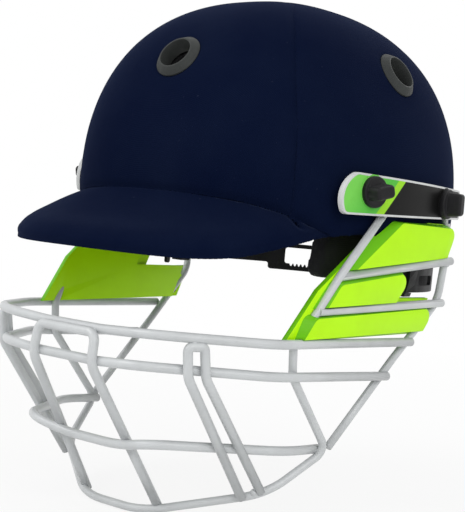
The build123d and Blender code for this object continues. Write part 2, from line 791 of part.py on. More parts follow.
# Rear stay and the two side bars between the stays
stay_back = loop_point(guard_reach * rear_stay_top, loop_middle - loop_half_height, loop_radius)
rear_route = [stay_back] + [guard_point(row) for row in rear_stay_shares]
rear_radii = [bend_radius * share for share in rear_stay_radius_shares]
with BuildPart() as rear_stay_left:
    add(coped(rod(rear_route, rear_radii, frame_diameter),
              [stay_flats.part, mounting_loop_left.part] + crossed))
rear_stay_left.part.label = "rear_stay_left"
export_step(rear_stay_left.part, "parts/rear_stay_left.step")

side_bars = {}
for label, shares in (("side_bar_upper_left", upper_side_bar_shares),
                      ("side_bar_lower_left", lower_side_bar_shares)):
    with BuildPart() as side_bar:
        add(coped(rod([guard_point(row) for row in shares], [], side_bar_diameter),
                  [frame_rod.part, rear_stay_left.part]))
    side_bars[label] = side_bar
    side_bar.part.label = label
    export_step(side_bar.part, f"parts/{label}.step")


# Ear guard: one moulding with three raised panels that fill the gaps between the side bars
ear_seats = [Vector(*guard_point(row)) for row in ear_plane_shares]
ear_normal = (ear_seats[1] - ear_seats[0]).cross(ear_seats[2] - ear_seats[0]).normalized()
if ear_normal.X < 0:
    ear_normal = -ear_normal
ear_plane = Plane(origin=ear_seats[0], x_dir=(ear_seats[1] - ear_seats[0]), z_dir=ear_normal)


def on_ear_plane(shares):
    """Corner of an ear guard outline, from its forward and down shares."""
    side = Vector(0, -guard_reach * shares[0], -guard_drop * shares[1])
    lift = ear_normal.dot(ear_seats[0] - side) / ear_normal.X
    local = ear_plane.to_local_coords(side + Vector(lift, 0, 0))
    return (local.X, local.Y)


def ear_outline(rows, level, rounded):
    """Flat outline on a plane above or below the rods, with the rear corners rounded."""
    corners = [on_ear_plane(row) for row in rows]
    with BuildSketch(ear_plane.offset(level)) as face:
        with BuildLine():
            Polyline(*corners, close=True)
        make_face()
        ends = face.vertices().sort_by(Axis(ear_plane.origin, ear_plane.x_dir))[-rounded:]
        fillet(ends, ear_corner)
    return face.sketch


ear_grown = []
for route, radii, diameter in (
    (frame_route, frame_radii + frame_radii[::-1], frame_diameter),
    (rear_route, rear_radii, frame_diameter),
    ([guard_point(row) for row in upper_side_bar_shares], [], side_bar_diameter),
    ([guard_point(row) for row in lower_side_bar_shares], [], side_bar_diameter),
    (*across_route(top_bar_shares, bar_radii), bar_diameter),
    (*across_route(second_bar_shares, bar_radii), bar_diameter),
):
    ear_grown.append(rod(route, radii, diameter + ear_clearance * 2))
shell_room = within(dome(-ear_shell_gap), above_rim(-ear_shell_gap))
with BuildPart() as ear_guard_left:
    for rows, foot_rows in zip(ear_panel_shares, ear_foot_shares):
        loft([ear_outline(foot_rows, -ear_foot_depth, 2), ear_outline(rows, ear_block_rise, 2)], ruled=True)
    extrude(ear_outline(ear_backing_shares, -ear_backing_depth, 2), amount=ear_backing)
    for grown in ear_grown:
        add(grown, mode=Mode.SUBTRACT)
    add(shell_room, mode=Mode.SUBTRACT)
    add(ear_guard_left.solids().sort_by(SortBy.VOLUME)[-1], mode=Mode.INTERSECT)
ear_guard_left.part.label = "ear_guard_left"
export_step(ear_guard_left.part, "parts/ear_guard_left.step")


def sector(inner, outer, low, high, start, end):
    """Bar curved about the nape ring; angles run from straight back towards the left side."""
    plane = Plane(origin=(0, ring_centre, 0), x_dir=(sin(radians(start)), cos(radians(start)), 0),
                  z_dir=(cos(radians(start)), -sin(radians(start)), 0))
    with BuildPart() as body:
        with BuildSketch(plane):
            with Locations(((inner + outer) / 2, (low + high) / 2)):
                Rectangle(outer - inner, high - low)
        revolve(axis=Axis((0, ring_centre, 0), (0, 0, -1)), revolution_arc=end - start)
    return body.part


def tooth_gap(angle, radius, root, tip):
    """Tapered slot between two rack teeth, cut straight out from the nape ring's centre."""
    plane = Plane(origin=(radius * sin(angle) / 2, ring_centre + radius * cos(angle) / 2, ring_height),
                  x_dir=(-cos(angle), sin(angle), 0), z_dir=(sin(angle), cos(angle), 0))
    middle = tooth_pitch / 2 + backlash / 2
    flare = tan(radians(pressure_angle))
    wide = (middle + addendum * 2 * flare) / 2
    narrow = (middle - dedendum * 2 * flare) / 2
    with BuildPart() as slot:
        with BuildSketch(plane):
            with BuildLine():
                Polyline((-narrow, root), (narrow, root), (wide, tip), (wide, 0), (-wide, 0), (-wide, tip),
                         close=True)
            make_face()
        extrude(amount=radius)
    return slot.part


def band(radius, toothed):
    """Rack band: toothed window at the back, tail with a slot, stop flange at its front end.

    The toothed edge is under the dial's shaft for toothed = -1 and over it for toothed = 1."""
    outer = radius + band_wall
    middle = (radius + outer) / 2
    step = degrees(tooth_pitch / middle)

    def between(near, far):
        return sorted((ring_height + toothed * near, ring_height - toothed * far))

    with BuildPart() as body:
        add(sector(radius, outer, ring_height - band_half_height, ring_height + band_half_height,
                   band_start, band_shoulder))
        add(sector(radius, outer, *between(tail_toothed_side, band_half_height), band_shoulder,
                   band_end))
        add(sector(radius, outer, ring_height - band_half_height, ring_height + band_half_height,
                   stop_start, band_end))
        add(sector(radius - overrun, outer + overrun,
                   *between(pinion_radius - addendum, window_plain_side), window_start, window_end),
            mode=Mode.SUBTRACT)
        add(sector(radius - overrun, outer + overrun,
                   *between(tail_toothed_side - tail_web, band_half_height - tail_web),
                   vent_slot_start, vent_slot_end), mode=Mode.SUBTRACT)
        corners = body.edges().filter_by(GeomType.LINE).filter_by(
            lambda edge: edge.length < band_wall + band_gap / 2)
        fillet(corners, band_corner)
        for number in gap_numbers:
            add(tooth_gap(radians(number * step), middle, toothed * (pinion_radius + dedendum),
                          toothed * (pinion_radius - addendum)), mode=Mode.SUBTRACT)
    return body.part


with BuildPart() as rack_band_left:
    add(band(band_outer_radius, 1))
rack_band_left.part.label = "rack_band_left"
export_step(rack_band_left.part, "parts/rack_band_left.step")

with BuildPart() as rack_band_right:
    mirror(band(band_inner_radius, -1), about=Plane.YZ)
rack_band_right.part.label = "rack_band_right"
export_step(rack_band_right.part, "parts/rack_band_right.step")

# Pinion: involute teeth between the two racks, with a shaft to the dial and a pivot behind
base_radius = pinion_radius * cos(radians(pressure_angle))
pitch_half_angle = (tooth_pitch - backlash) / 2 / pinion_radius / 2
pressure_roll = tan(radians(pressure_angle)) - radians(pressure_angle)


def flank_point(radius, hand):
    """Point on the flank of the tooth that points straight up."""
    roll = acos(min(1, base_radius / radius))
    angle = pitch_half_angle + pressure_roll - (tan(roll) - roll)
    return (hand * radius * sin(angle), radius * cos(angle))


gear_back = ring_centre + band_inner_radius + gear_lift
gear_plane = Plane(origin=(0, gear_back, ring_height), x_dir=(1, 0, 0), z_dir=(0, 1, 0))
flank_radii = [base_radius, (base_radius + pinion_radius) / 2, pinion_radius,
               (pinion_radius + pinion_tip) / 2, pinion_tip]
dial_seat = ring_centre + housing_outer_radius + dial_gap
with BuildPart() as pinion:
    with BuildSketch(gear_plane):
        Circle(pinion_root)
        with BuildSketch(mode=Mode.PRIVATE) as tooth:
            with BuildLine():
                right = Spline(*[flank_point(radius, 1) for radius in flank_radii])
                left = Spline(*[flank_point(radius, -1) for radius in flank_radii])
                ThreePointArc(right @ 1, (0, pinion_tip), left @ 1)
                foot = pinion_root * foot_share
                Polyline(right @ 0, ((right @ 0).X, foot), ((left @ 0).X, foot), left @ 0)
            make_face()
        with PolarLocations(0, pinion_teeth):
            add(tooth.sketch)
    extrude(amount=gear_face)
    add(pin(gear_plane, shaft_radius, gear_face / 2, dial_seat - gear_back + dial_length / 2))
    add(pin(gear_plane, pivot_radius, -pivot_depth, gear_face / 2))
pinion.part.label = "pinion"
export_step(pinion.part, "parts/pinion.step")

# Dial: scalloped knob pressed on the shaft
dial_plane = Plane(origin=(0, dial_seat, ring_height), x_dir=(1, 0, 0), z_dir=(0, 1, 0))
with BuildPart() as dial:
    with BuildSketch(dial_plane):
        Circle(dial_radius)
        with PolarLocations(dial_radius + scallop_radius / 2, dial_scallops):
            Circle(scallop_radius, mode=Mode.SUBTRACT)
    extrude(amount=dial_length)
    with BuildSketch(dial_plane.offset(dial_length - dial_recess)):
        Circle(dial_radius * dial_recess_share)
    extrude(amount=dial_recess, mode=Mode.SUBTRACT)
    add(pin(dial_plane, shaft_radius, -overrun, dial_length / 2), mode=Mode.SUBTRACT)
dial.part.label = "dial"
export_step(dial.part, "parts/dial.step")

# Housing halves round the racks: an inner shell and an outer cap
low, high = ring_height - housing_half_height, ring_height + housing_half_height
with BuildPart() as housing_outer:
    add(sector(housing_radius, housing_outer_radius, low, high, -housing_angle, housing_angle))
    fillet(housing_outer.edges().filter_by(GeomType.LINE).filter_by(
        lambda edge: edge.length < housing_outer_radius - housing_radius + overrun / 2), housing_corner)
    add(sector(housing_radius - overrun, cavity_radius, ring_height - band_half_height - band_gap,
               ring_height + band_half_height + band_gap, -housing_angle - end_turn,
               housing_angle + end_turn),
        mode=Mode.SUBTRACT)
    add(pin(gear_plane, shaft_radius + running_clearance, 0, dial_length * 2), mode=Mode.SUBTRACT)
housing_outer.part.label = "housing_outer"
export_step(housing_outer.part, "parts/housing_outer.step")

with BuildPart() as housing_inner:
    add(sector(housing_radius - housing_inner_wall, housing_radius, low, high, -housing_angle,
               housing_angle))
    fillet(housing_inner.edges().filter_by(GeomType.LINE).filter_by(
        lambda edge: edge.length < housing_inner_wall + overrun / 8), housing_corner)
    add(pin(gear_plane, pivot_radius + running_clearance, -pivot_depth - running_clearance * 2, gear_face),
        mode=Mode.SUBTRACT)
housing_inner.part.label = "housing_inner"
export_step(housing_inner.part, "parts/housing_inner.step")

with BuildPart() as nape_pad:
    add(sector(housing_radius - housing_inner_wall - nape_pad_thickness,
               housing_radius - housing_inner_wall, low + overrun, high - overrun,
               -housing_angle + end_turn, housing_angle - end_turn))
    fillet(nape_pad.edges(), nape_pad_thickness / 4)
nape_pad.part.label = "nape_pad"
export_step(nape_pad.part, "parts/nape_pad.step")

# Hangers: an angle bracket over the housing and a guide loop at each side
with BuildPart() as nape_hanger:
    with BuildSketch(Plane.XY.offset(high)):
        with Locations((0, nape_hanger_back - hanger_reach / 2)):
            Rectangle(nape_hanger_half_width * 2, hanger_reach)
    extrude(amount=hanger_leg)
    with BuildSketch(Plane.XY.offset(high)):
        with Locations((0, nape_hanger_back - (hanger_plate + hanger_lean) / 2)):
            Rectangle(nape_hanger_half_width * 2, hanger_plate + hanger_lean)
    extrude(amount=-high - nape_hanger_top)
    add(dome_inside, mode=Mode.INTERSECT)
    for hole in rivet_holes:
        add(hole, mode=Mode.SUBTRACT)
nape_hanger.part.label = "nape_hanger"
export_step(nape_hanger.part, "parts/nape_hanger.step")


def side_hanger(toothed):
    """Hanger on the left side whose guide loop holds the tail of a band toothed over or under."""
    near = ring_height + toothed * (tail_toothed_side + guide_clearance)
    far = ring_height - toothed * (band_half_height + guide_clearance)
    guide_low, guide_high = min(near, far), max(near, far)
    with BuildPart() as body:
        add(sector(housing_radius - side_hanger_wall, cavity_radius + side_hanger_wall,
                   guide_low - side_hanger_wall, guide_high + side_hanger_wall, side_hanger_start,
                   side_hanger_end))
        add(sector(housing_radius, cavity_radius, guide_low, guide_high, side_hanger_start - end_turn,
                   side_hanger_end + end_turn), mode=Mode.SUBTRACT)
        add(sector(cavity_radius, cavity_radius + side_hanger_wall, guide_high, -side_hanger_drop,
                   side_hanger_start, side_hanger_end))
        add(sector(cavity_radius, cavity_radius + side_hanger_wall * 2, -side_hanger_foot,
                   -side_hanger_drop, side_hanger_start, side_hanger_end))
        add(dome_inside, mode=Mode.INTERSECT)
    return body.part


with BuildPart() as hanger_left:
    add(side_hanger(1))
    add(rivet_holes[0], mode=Mode.SUBTRACT)
hanger_left.part.label = "hanger_left"
export_step(hanger_left.part, "parts/hanger_left.step")

with BuildPart() as hanger_right:
    mirror(side_hanger(-1), about=Plane.YZ)
    add(rivet_holes[1], mode=Mode.SUBTRACT)
hanger_right.part.label = "hanger_right"
export_step(hanger_right.part, "parts/hanger_right.step")

# Rivets that hold the hangers, with flat heads inside the shell
with BuildPart() as hanger_rivets:
    for plane in rivet_planes:
        add(pin(plane, rivet_head_radius, -rivet_head, -rivet_seat))
    for hole in rivet_holes:
        add(within(hole, dome_shell))
hanger_rivets.part.label = "hanger_rivets"
export_step(hanger_rivets.part, "parts/hanger_rivets.step")

# The wearer's right side: the same pieces turned over
left_pieces = {
    "side_pad_right": pads["side_pad_left"],
    "side_strip_right": side_strip_left.part,
    "strip_label_right": strip_label_left.part,
    "mounting_loop_right": mounting_loop_left.part,
    "side_hairpin_right": side_hairpin_left.part,
    "rear_stay_right": rear_stay_left.part,
    "side_bar_upper_right": side_bars["side_bar_upper_left"].part,
    "side_bar_lower_right": side_bars["side_bar_lower_left"].part,
    "ear_guard_right": ear_guard_left.part,
    "wing_screw_front_right": wing_screws["wing_screw_front_left"].part,
    "wing_screw_rear_right": wing_screws["wing_screw_rear_left"].part,
}
for label, piece in left_pieces.items():
    with BuildPart() as right_piece:
        mirror(piece, about=Plane.YZ)
    right_piece.part.label = label
    export_step(right_piece.part, f"parts/{label}.step")
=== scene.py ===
"""Looks of a cloth-covered cricket helmet with a wire face guard, built round its CAD frame."""

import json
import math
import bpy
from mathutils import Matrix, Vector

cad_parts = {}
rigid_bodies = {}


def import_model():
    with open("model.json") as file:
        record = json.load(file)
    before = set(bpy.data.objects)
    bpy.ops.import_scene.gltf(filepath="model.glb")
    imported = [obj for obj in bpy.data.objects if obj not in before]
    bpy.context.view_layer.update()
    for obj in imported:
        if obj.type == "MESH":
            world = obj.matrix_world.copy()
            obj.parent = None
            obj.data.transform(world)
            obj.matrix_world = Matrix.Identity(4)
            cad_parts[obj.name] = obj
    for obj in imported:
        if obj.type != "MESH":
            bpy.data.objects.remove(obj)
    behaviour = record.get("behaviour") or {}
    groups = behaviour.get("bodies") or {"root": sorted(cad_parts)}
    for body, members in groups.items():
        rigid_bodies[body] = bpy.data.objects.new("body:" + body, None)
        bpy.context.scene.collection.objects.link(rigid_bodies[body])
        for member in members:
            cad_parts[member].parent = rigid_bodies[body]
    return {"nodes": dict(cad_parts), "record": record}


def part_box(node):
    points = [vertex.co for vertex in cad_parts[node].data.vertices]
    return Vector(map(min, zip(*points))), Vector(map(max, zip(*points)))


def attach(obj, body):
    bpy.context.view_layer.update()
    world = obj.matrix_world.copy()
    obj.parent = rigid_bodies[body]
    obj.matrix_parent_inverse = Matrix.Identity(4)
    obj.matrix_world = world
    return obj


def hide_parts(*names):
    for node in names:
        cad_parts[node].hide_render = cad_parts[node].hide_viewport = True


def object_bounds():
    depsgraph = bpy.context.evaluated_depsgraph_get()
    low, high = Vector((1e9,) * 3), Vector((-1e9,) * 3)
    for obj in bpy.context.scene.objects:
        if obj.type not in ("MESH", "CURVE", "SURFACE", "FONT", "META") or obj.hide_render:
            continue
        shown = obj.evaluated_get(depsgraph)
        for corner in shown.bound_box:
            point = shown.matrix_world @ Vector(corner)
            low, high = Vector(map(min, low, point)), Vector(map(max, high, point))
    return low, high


bl_info = {
    "name": "Cricket Helmet Looks",
    "version": (1, 0, 0),
    "blender": (4, 5, 0),
    "location": "View3D > Sidebar > Helmet",
    "description": "Cloth cover, coated guard wire, ear guards, cushions and fittings of a cricket helmet",
    "category": "Object",
}

import bmesh
import bpy
from mathutils import Matrix, Vector, kdtree, noise
from mathutils.bvhtree import BVHTree

for start_object in list(bpy.data.objects):
    bpy.data.objects.remove(start_object)
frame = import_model()
nodes = frame["nodes"]
cad_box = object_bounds()

# Lengths are in metres.
# The covered dome: superellipses of one width, with a power and a reach each in front and behind
DOME_SIDE = 0.110
DOME_FRONT = 0.120
DOME_BACK = 0.140
DOME_CROWN = 0.1257
LEVEL_POWER = 2.355
FRONT_POWER = 2.55
BACK_POWER = 2.15

WIRE_NODES = (
    "frame_rod", "mounting_loop_left", "mounting_loop_right", "top_bar", "second_bar", "third_bar",
    "centre_hairpin", "side_hairpin_left", "side_hairpin_right", "rear_stay_left", "rear_stay_right",
    "side_bar_upper_left", "side_bar_upper_right", "side_bar_lower_left", "side_bar_lower_right",
)
GROMMETS = ("vent_front", "vent_back", "vent_left", "vent_right")
WING_SCREWS = ("wing_screw_front_left", "wing_screw_rear_left", "wing_screw_front_right",
               "wing_screw_rear_right")
BLACK_NODES = ("rack_band_left", "rack_band_right", "housing_outer", "housing_inner", "nape_hanger",
               "hanger_left", "hanger_right", "pinion", "dial")
SIDES = ("left", "right")
# A side strip: places of its wing screws along Y and Z, how far the print reaches round each, the
# centre of the strip's arc in the XY plane, the radius under which its face is the sunk field, and
# the least share of a field face's normal that points out
STRIP_SCREWS = ((-0.0499, 0.0075), (0.0279, 0.0051))
SCREW_RING = 0.0101
STRIP_ARC_CENTRE = (0.1186 - 0.233, -0.001)
STRIP_ARC_FIELD = 0.2331
STRIP_FACING = 0.6
# Least share along X of the normal of an ear guard's faces that keep the plain lime; the other faces, the
# slopes, get a darker green that is painted shade
EAR_FACE_LEAN = 0.985
# Folds between faces: flat enough to turn an edge, the hem of a cover panel, a moulding's faces
# that become one, its edges that are rounded, and the edges left sharp in the shading
FLAT_FOLD = math.radians(12)
HEM_FOLD = math.radians(50)
MERGED_FOLD = math.radians(2)
HARD_FOLD = math.radians(28)
MOULDING_SHARP = math.radians(40)
WIRE_SHARP = math.radians(50)
# Points of a CAD mesh closer than this become one
MERGE_GAP = 0.00001
# The cover's mesh: longest edge and rounds of splitting, in general and near the hems
CLOTH_EDGE = 0.0042
CLOTH_ROUNDS = 6
HEM_REACH = 0.006
HEM_EDGE = 0.0016
HEM_ROUNDS = 3
# Vertices of a cover panel further than this from the shell are on its outer face
OUTER_LIFT = 0.00105
# The peak's cloth is smoothed away from its hem, this far off and this many times
PEAK_HEM = 0.0008
PEAK_ROUNDS = 12
# Waviness of the cloth: how many waves a metre and how high, and how far the cloth stands off
CLOTH_WAVES = ((28.0, 0.00012), (75.0, 0.00004))
CLOTH_STAND = 0.0002
# Step for measuring the slope of the dome's surface
SLOPE_STEP = 0.0005
# Diameter of the sphere that the weave is laid out on, and the least distance from its pole
WEAVE_SPHERE = 0.24
LEAST_LEVEL = 0.000001
# Each cover panel's cut area in square metres and flat size
PANELS = (
    ("cover_front", 0.0254, (0.19, 0.19)), ("cover_rear", 0.0924, (0.40, 0.36)),
    ("cover_peak", 0.0178, (0.20, 0.14)),
)
# Each cushion's fill and the way it faces out of the helmet
CUSHIONS = (
    ("brow_pad", 0.7, (0, -1, 0)), ("rear_pad", 0.7, (0, 1, 0)), ("crown_pad", 0.6, (0, 0, 1)),
    ("side_pad_left", 0.65, (1, 0, 0)), ("side_pad_right", 0.65, (-1, 0, 0)),
    ("nape_pad", 0.6, (0, 1, 0)),
)
# Softening of a cushion's mesh, and its pucker: how many waves a metre and how high
SOFTEN_SHARE = 0.5
SOFTEN_ROUNDS = 6
PUCKER_PITCH = 90.0
PUCKER_HEIGHT = 0.00025
# Pitch of the knit of the pads' cloth
KNIT_PITCH = 0.0012
# The strip's print runs along Y, leans by this share of Z, and starts and ends at these places
PRINT_LEAN = -0.85
PRINT_START = -0.085
PRINT_END = -0.025
PRINT_BLACK = (0.004, 0.004, 0.004)
# Weld beads: how far to search for another wire, the gap at which wires touch, the distance between
# two welds, the least radius of a bead and its growth with the spread of the touching points
TOUCH_SEARCH = 0.001
TOUCH_GAP = 0.00015
WELD_REACH = 0.012
LEAST_BEAD = 0.0012
BEAD_GROWTH = 0.35
# Widths of the rounded edges of strips, grommets and wing screws
STRIP_ROUND = 0.0003
GROMMET_ROUND = 0.0004
SCREW_ROUND = 0.0005
# The floor: its radius and colour, and the distance and share of white where its fade starts and ends
FLOOR_RADIUS = 6.0
FLOOR_COLOUR = (0.86, 0.86, 0.86, 1.0)
FADE_FROM = (0.25, 0.86)
FADE_TO = (1.1, 1.0)
WHITE = (1.0, 1.0, 1.0, 1.0)
# Lamps: name, place and size, and the setting that holds the power
LAMP_AIM = (0, -0.03, -0.03)
LAMPS = (
    ("key_lamp", (-0.9, -1.5, 1.3), 1.1, "key_power"),
    ("fill_lamp", (1.7, -0.9, 0.9), 1.2, "fill_power"),
    ("back_lamp", (0.3, 1.6, 1.5), 1.2, "back_power"),
)
# The camera that was fitted to the photograph: lens and sensor in millimetres, shift as a share
# of the picture, clipping distances, place, and the directions to its right and behind it
LENS = 89.44
SENSOR = 36.0
LENS_SHIFT = (0.01855, 0.01914)
CLIP = (0.05, 30.0)
CAMERA_PLACE = (0.51365, -0.67228, -0.00651)
CAMERA_ACROSS = (0.77, 0.6319, 0.0888)
CAMERA_BACK = (0.6302, -0.7748, 0.0491)


# Properties that a user would change

class ClothSettings(bpy.types.PropertyGroup):
    """Cover cloth of the dome and the peak."""

    colour: bpy.props.FloatVectorProperty(
        name="Cloth colour", description="Colour of the cover cloth", subtype="COLOR", size=3,
        min=0, max=1, default=(0.0022, 0.0050, 0.021))
    worn_colour: bpy.props.FloatVectorProperty(
        name="Faded colour", description="Colour of the cloth where it has faded", subtype="COLOR",
        size=3, min=0, max=1, default=(0.0042, 0.0080, 0.026))
    seam_depth: bpy.props.FloatProperty(
        name="Seam depth", description="How far the cloth sinks at a seam", unit="LENGTH",
        default=0.0009)
    least_lift: bpy.props.FloatProperty(
        name="Least lift", description="Least height of the cloth's face over the shell",
        unit="LENGTH", default=0.0004)
    seam_width: bpy.props.FloatProperty(
        name="Seam width", description="Distance over which the cloth dips towards a seam",
        unit="LENGTH", default=0.0032)
    weave_pitch: bpy.props.FloatProperty(
        name="Weave pitch", description="Distance between two ribs of the weave", unit="LENGTH",
        default=0.0009)


class CushionSettings(bpy.types.PropertyGroup):
    """Comfort pads inside the helmet."""

    colour: bpy.props.FloatVectorProperty(
        name="Pad colour", description="Colour of the pads' cloth", subtype="COLOR", size=3, min=0,
        max=1, default=(0.012, 0.012, 0.014))
    crown: bpy.props.FloatProperty(
        name="Crown", description="How far a pad swells at its middle", unit="LENGTH",
        default=0.0016)
    voxel: bpy.props.FloatProperty(
        name="Mesh step", description="Mesh size of the pads", unit="LENGTH", default=0.0018)


class GuardSettings(bpy.types.PropertyGroup):
    """Face guard wire and ear guards."""

    coat_colour: bpy.props.FloatVectorProperty(
        name="Coat colour", description="Colour of the wire's powder coat", subtype="COLOR", size=3,
        min=0, max=1, default=(0.60, 0.62, 0.63))
    bead_radius: bpy.props.FloatProperty(
        name="Weld bead", description="Radius of a weld bead between two bars", unit="LENGTH",
        default=0.0022)
    lime_colour: bpy.props.FloatVectorProperty(
        name="Ear guard colour", description="Colour of the ear guards' faces", subtype="COLOR",
        size=3, min=0, max=1, default=(0.52, 1.0, 0.002))
    # The slopes' darker green is painted shade for the light falling off them, not a colour of the plastic
    slope_shade_colour: bpy.props.FloatVectorProperty(
        name="Ear guard edge colour", description="Colour of the slopes round the ear guards' panels",
        subtype="COLOR", size=3, min=0, max=1, default=(0.16, 0.56, 0.004))
    edge_round: bpy.props.FloatProperty(
        name="Edge round", description="Width of the rounded edges of moulded pieces", unit="LENGTH",
        default=0.0007)


class TrimSettings(bpy.types.PropertyGroup):
    """Side strips, grommets, screws and nape adjuster."""

    strip_green: bpy.props.FloatVectorProperty(
        name="Strip green", description="Green of the front end of the side strips", subtype="COLOR",
        size=3, min=0, max=1, default=(0.10, 0.52, 0.06))
    strip_light_green: bpy.props.FloatVectorProperty(
        name="Strip light green", description="Lighter green at the front corner of the side strips",
        subtype="COLOR", size=3, min=0, max=1, default=(0.20, 0.66, 0.10))
    strip_lime: bpy.props.FloatVectorProperty(
        name="Strip lime", description="Lime of the slanted band on the side strips",
        subtype="COLOR", size=3, min=0, max=1, default=(0.33, 0.72, 0.03))
    black: bpy.props.FloatVectorProperty(
        name="Moulded black", description="Colour of the black mouldings", subtype="COLOR", size=3,
        min=0, max=1, default=(0.012, 0.012, 0.013))
    grommet_grey: bpy.props.FloatVectorProperty(
        name="Grommet grey", description="Colour of the vent grommets", subtype="COLOR", size=3,
        min=0, max=1, default=(0.035, 0.038, 0.037))


class StageSettings(bpy.types.PropertyGroup):
    """Floor, lamps and camera."""

    key_power: bpy.props.FloatProperty(
        name="Key lamp", description="Power of the main soft lamp", unit="POWER", default=16.0)
    fill_power: bpy.props.FloatProperty(
        name="Fill lamp", description="Power of the lamp on the other side", unit="POWER",
        default=12.0)
    back_power: bpy.props.FloatProperty(
        name="Back lamp", description="Power of the lamp behind and above", unit="POWER",
        default=8.0)
    surround: bpy.props.FloatProperty(
        name="Surround", description="Strength of the even light from all round", default=0.62)
    floor_gap: bpy.props.FloatProperty(
        name="Floor gap", description="Gap between the lowest bar and the floor", unit="LENGTH",
        default=0.001)


# Meshes

def dome_share(point):
    """How far out a point is, as a share of the dome's surface in the same direction."""
    power = FRONT_POWER if point.y < 0 else BACK_POWER
    reach = DOME_FRONT if point.y < 0 else DOME_BACK
    level = (abs(point.x) / DOME_SIDE) ** power + (abs(point.y) / reach) ** power
    total = level ** (LEVEL_POWER / power) + (abs(point.z) / DOME_CROWN) ** LEVEL_POWER
    return total ** (1 / LEVEL_POWER)


def merged_copy(node):
    """Mesh of a CAD node as one closed skin."""
    bm = bmesh.new()
    bm.from_mesh(nodes[node].data)
    bmesh.ops.remove_doubles(bm, verts=bm.verts[:], dist=MERGE_GAP)
    bmesh.ops.dissolve_degenerate(bm, edges=bm.edges[:], dist=MERGE_GAP / 2)
    return bm


def refine(bm, longest, rounds):
    """Splits edges until none is much longer than the given length, then evens the triangles."""
    for _ in range(rounds):
        long_edges = [edge for edge in bm.edges if edge.calc_length() > longest]
        if not long_edges:
            break
        bmesh.ops.subdivide_edges(bm, edges=long_edges, cuts=1, use_grid_fill=True)
        bmesh.ops.triangulate(bm, faces=bm.faces[:])
    flat = [edge for edge in bm.edges
            if len(edge.link_faces) == 2 and edge.calc_face_angle() < FLAT_FOLD]
    bmesh.ops.beautify_fill(bm, faces=bm.faces[:], edges=flat)


def keep_piece(bm, name, body, material, replaced):
    """Turns a mesh in the making into a finished piece that rides on a body."""
    mesh = bpy.data.meshes.new(name)
    bm.to_mesh(mesh)
    bm.free()
    mesh.shade_smooth()
    piece = bpy.data.objects.new(name, mesh)
    bpy.context.scene.collection.objects.link(piece)
    for one in material if isinstance(material, (list, tuple)) else [material]:
        mesh.materials.append(one)
    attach(piece, body)
    if replaced:
        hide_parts(*replaced)
    return piece


def dress(node, material):
    """Gives a CAD node its material."""
    mesh = nodes[node].data
    mesh.materials.clear()
    mesh.materials.append(material)


def rounded_copy(node, width, body, material):
    """Copy of a moulded node whose hard edges are rounded, in place of the node."""
    bm = merged_copy(node)
    bmesh.ops.dissolve_limit(bm, angle_limit=MERGED_FOLD, verts=bm.verts[:], edges=bm.edges[:])
    hard = [edge for edge in bm.edges
            if len(edge.link_faces) == 2 and edge.calc_face_angle() > HARD_FOLD
            and edge.calc_length() > width]
    bmesh.ops.bevel(bm, geom=hard, offset=width, offset_type="OFFSET", segments=2, profile=0.5,
                    affect="EDGES", material=-1, clamp_overlap=True)
    bmesh.ops.triangulate(bm, faces=bm.faces[:])
    piece = keep_piece(bm, node + "_moulding", body, material, [node])
    piece.data.set_sharp_from_angle(angle=MOULDING_SHARP)
    return piece


# Materials

def blank_material(name):
    """New material with one Principled shader; returns it with its tree and shader."""
    material = bpy.data.materials.new(name)
    material.use_nodes = True
    tree = material.node_tree
    tree.nodes.clear()
    shader = tree.nodes.new("ShaderNodeBsdfPrincipled")
    output = tree.nodes.new("ShaderNodeOutputMaterial")
    tree.links.new(shader.outputs["BSDF"], output.inputs["Surface"])
    return material, tree, shader


def grain(tree, scale, detail=3.0, roughness=0.6):
    """Noise on the object's own coordinates, as a factor."""
    place = tree.nodes.new("ShaderNodeTexCoord")
    made = tree.nodes.new("ShaderNodeTexNoise")
    made.inputs["Scale"].default_value = scale
    made.inputs["Detail"].default_value = detail
    made.inputs["Roughness"].default_value = roughness
    tree.links.new(place.outputs["Object"], made.inputs["Vector"])
    return made.outputs["Fac"]


def ramp(tree, factor, stops):
    """Colour ramp over a factor; stops are pairs of place and colour."""
    made = tree.nodes.new("ShaderNodeValToRGB")
    while len(made.color_ramp.elements) < len(stops):
        made.color_ramp.elements.new(0.5)
    for element, (place, colour) in zip(made.color_ramp.elements, stops):
        element.position = place
        element.color = (*colour, 1.0)
    tree.links.new(factor, made.inputs["Fac"])
    return made.outputs["Color"]


def height_sum(tree, parts):
    """Weighted sum of heights; parts are pairs of socket and weight."""
    total = None
    for socket, weight in parts:
        scaled = tree.nodes.new("ShaderNodeMath")
        scaled.operation = "MULTIPLY"
        scaled.inputs[1].default_value = weight
        tree.links.new(socket, scaled.inputs[0])
        if total is None:
            total = scaled.outputs[0]
            continue
        added = tree.nodes.new("ShaderNodeMath")
        added.operation = "ADD"
        tree.links.new(total, added.inputs[0])
        tree.links.new(scaled.outputs[0], added.inputs[1])
        total = added.outputs[0]
    return total


def bumped(tree, shader, height, strength, distance):
    """Bump on a shader from a height socket."""
    made = tree.nodes.new("ShaderNodeBump")
    made.inputs["Strength"].default_value = strength
    made.inputs["Distance"].default_value = distance
    tree.links.new(height, made.inputs["Height"])
    tree.links.new(made.outputs["Normal"], shader.inputs["Normal"])


def ribs(tree, direction, pitch, source="UV"):
    """Fine ribs along one direction, as a height: a wave of scale s has bands pi / (10 s) apart."""
    place = tree.nodes.new("ShaderNodeTexCoord")
    made = tree.nodes.new("ShaderNodeTexWave")
    made.wave_type = "BANDS"
    made.bands_direction = direction
    made.inputs["Scale"].default_value = math.pi / (10 * pitch)
    made.inputs["Distortion"].default_value = 0.6
    made.inputs["Detail"].default_value = 1.0
    tree.links.new(place.outputs[source], made.inputs["Vector"])
    return made.outputs["Fac"]


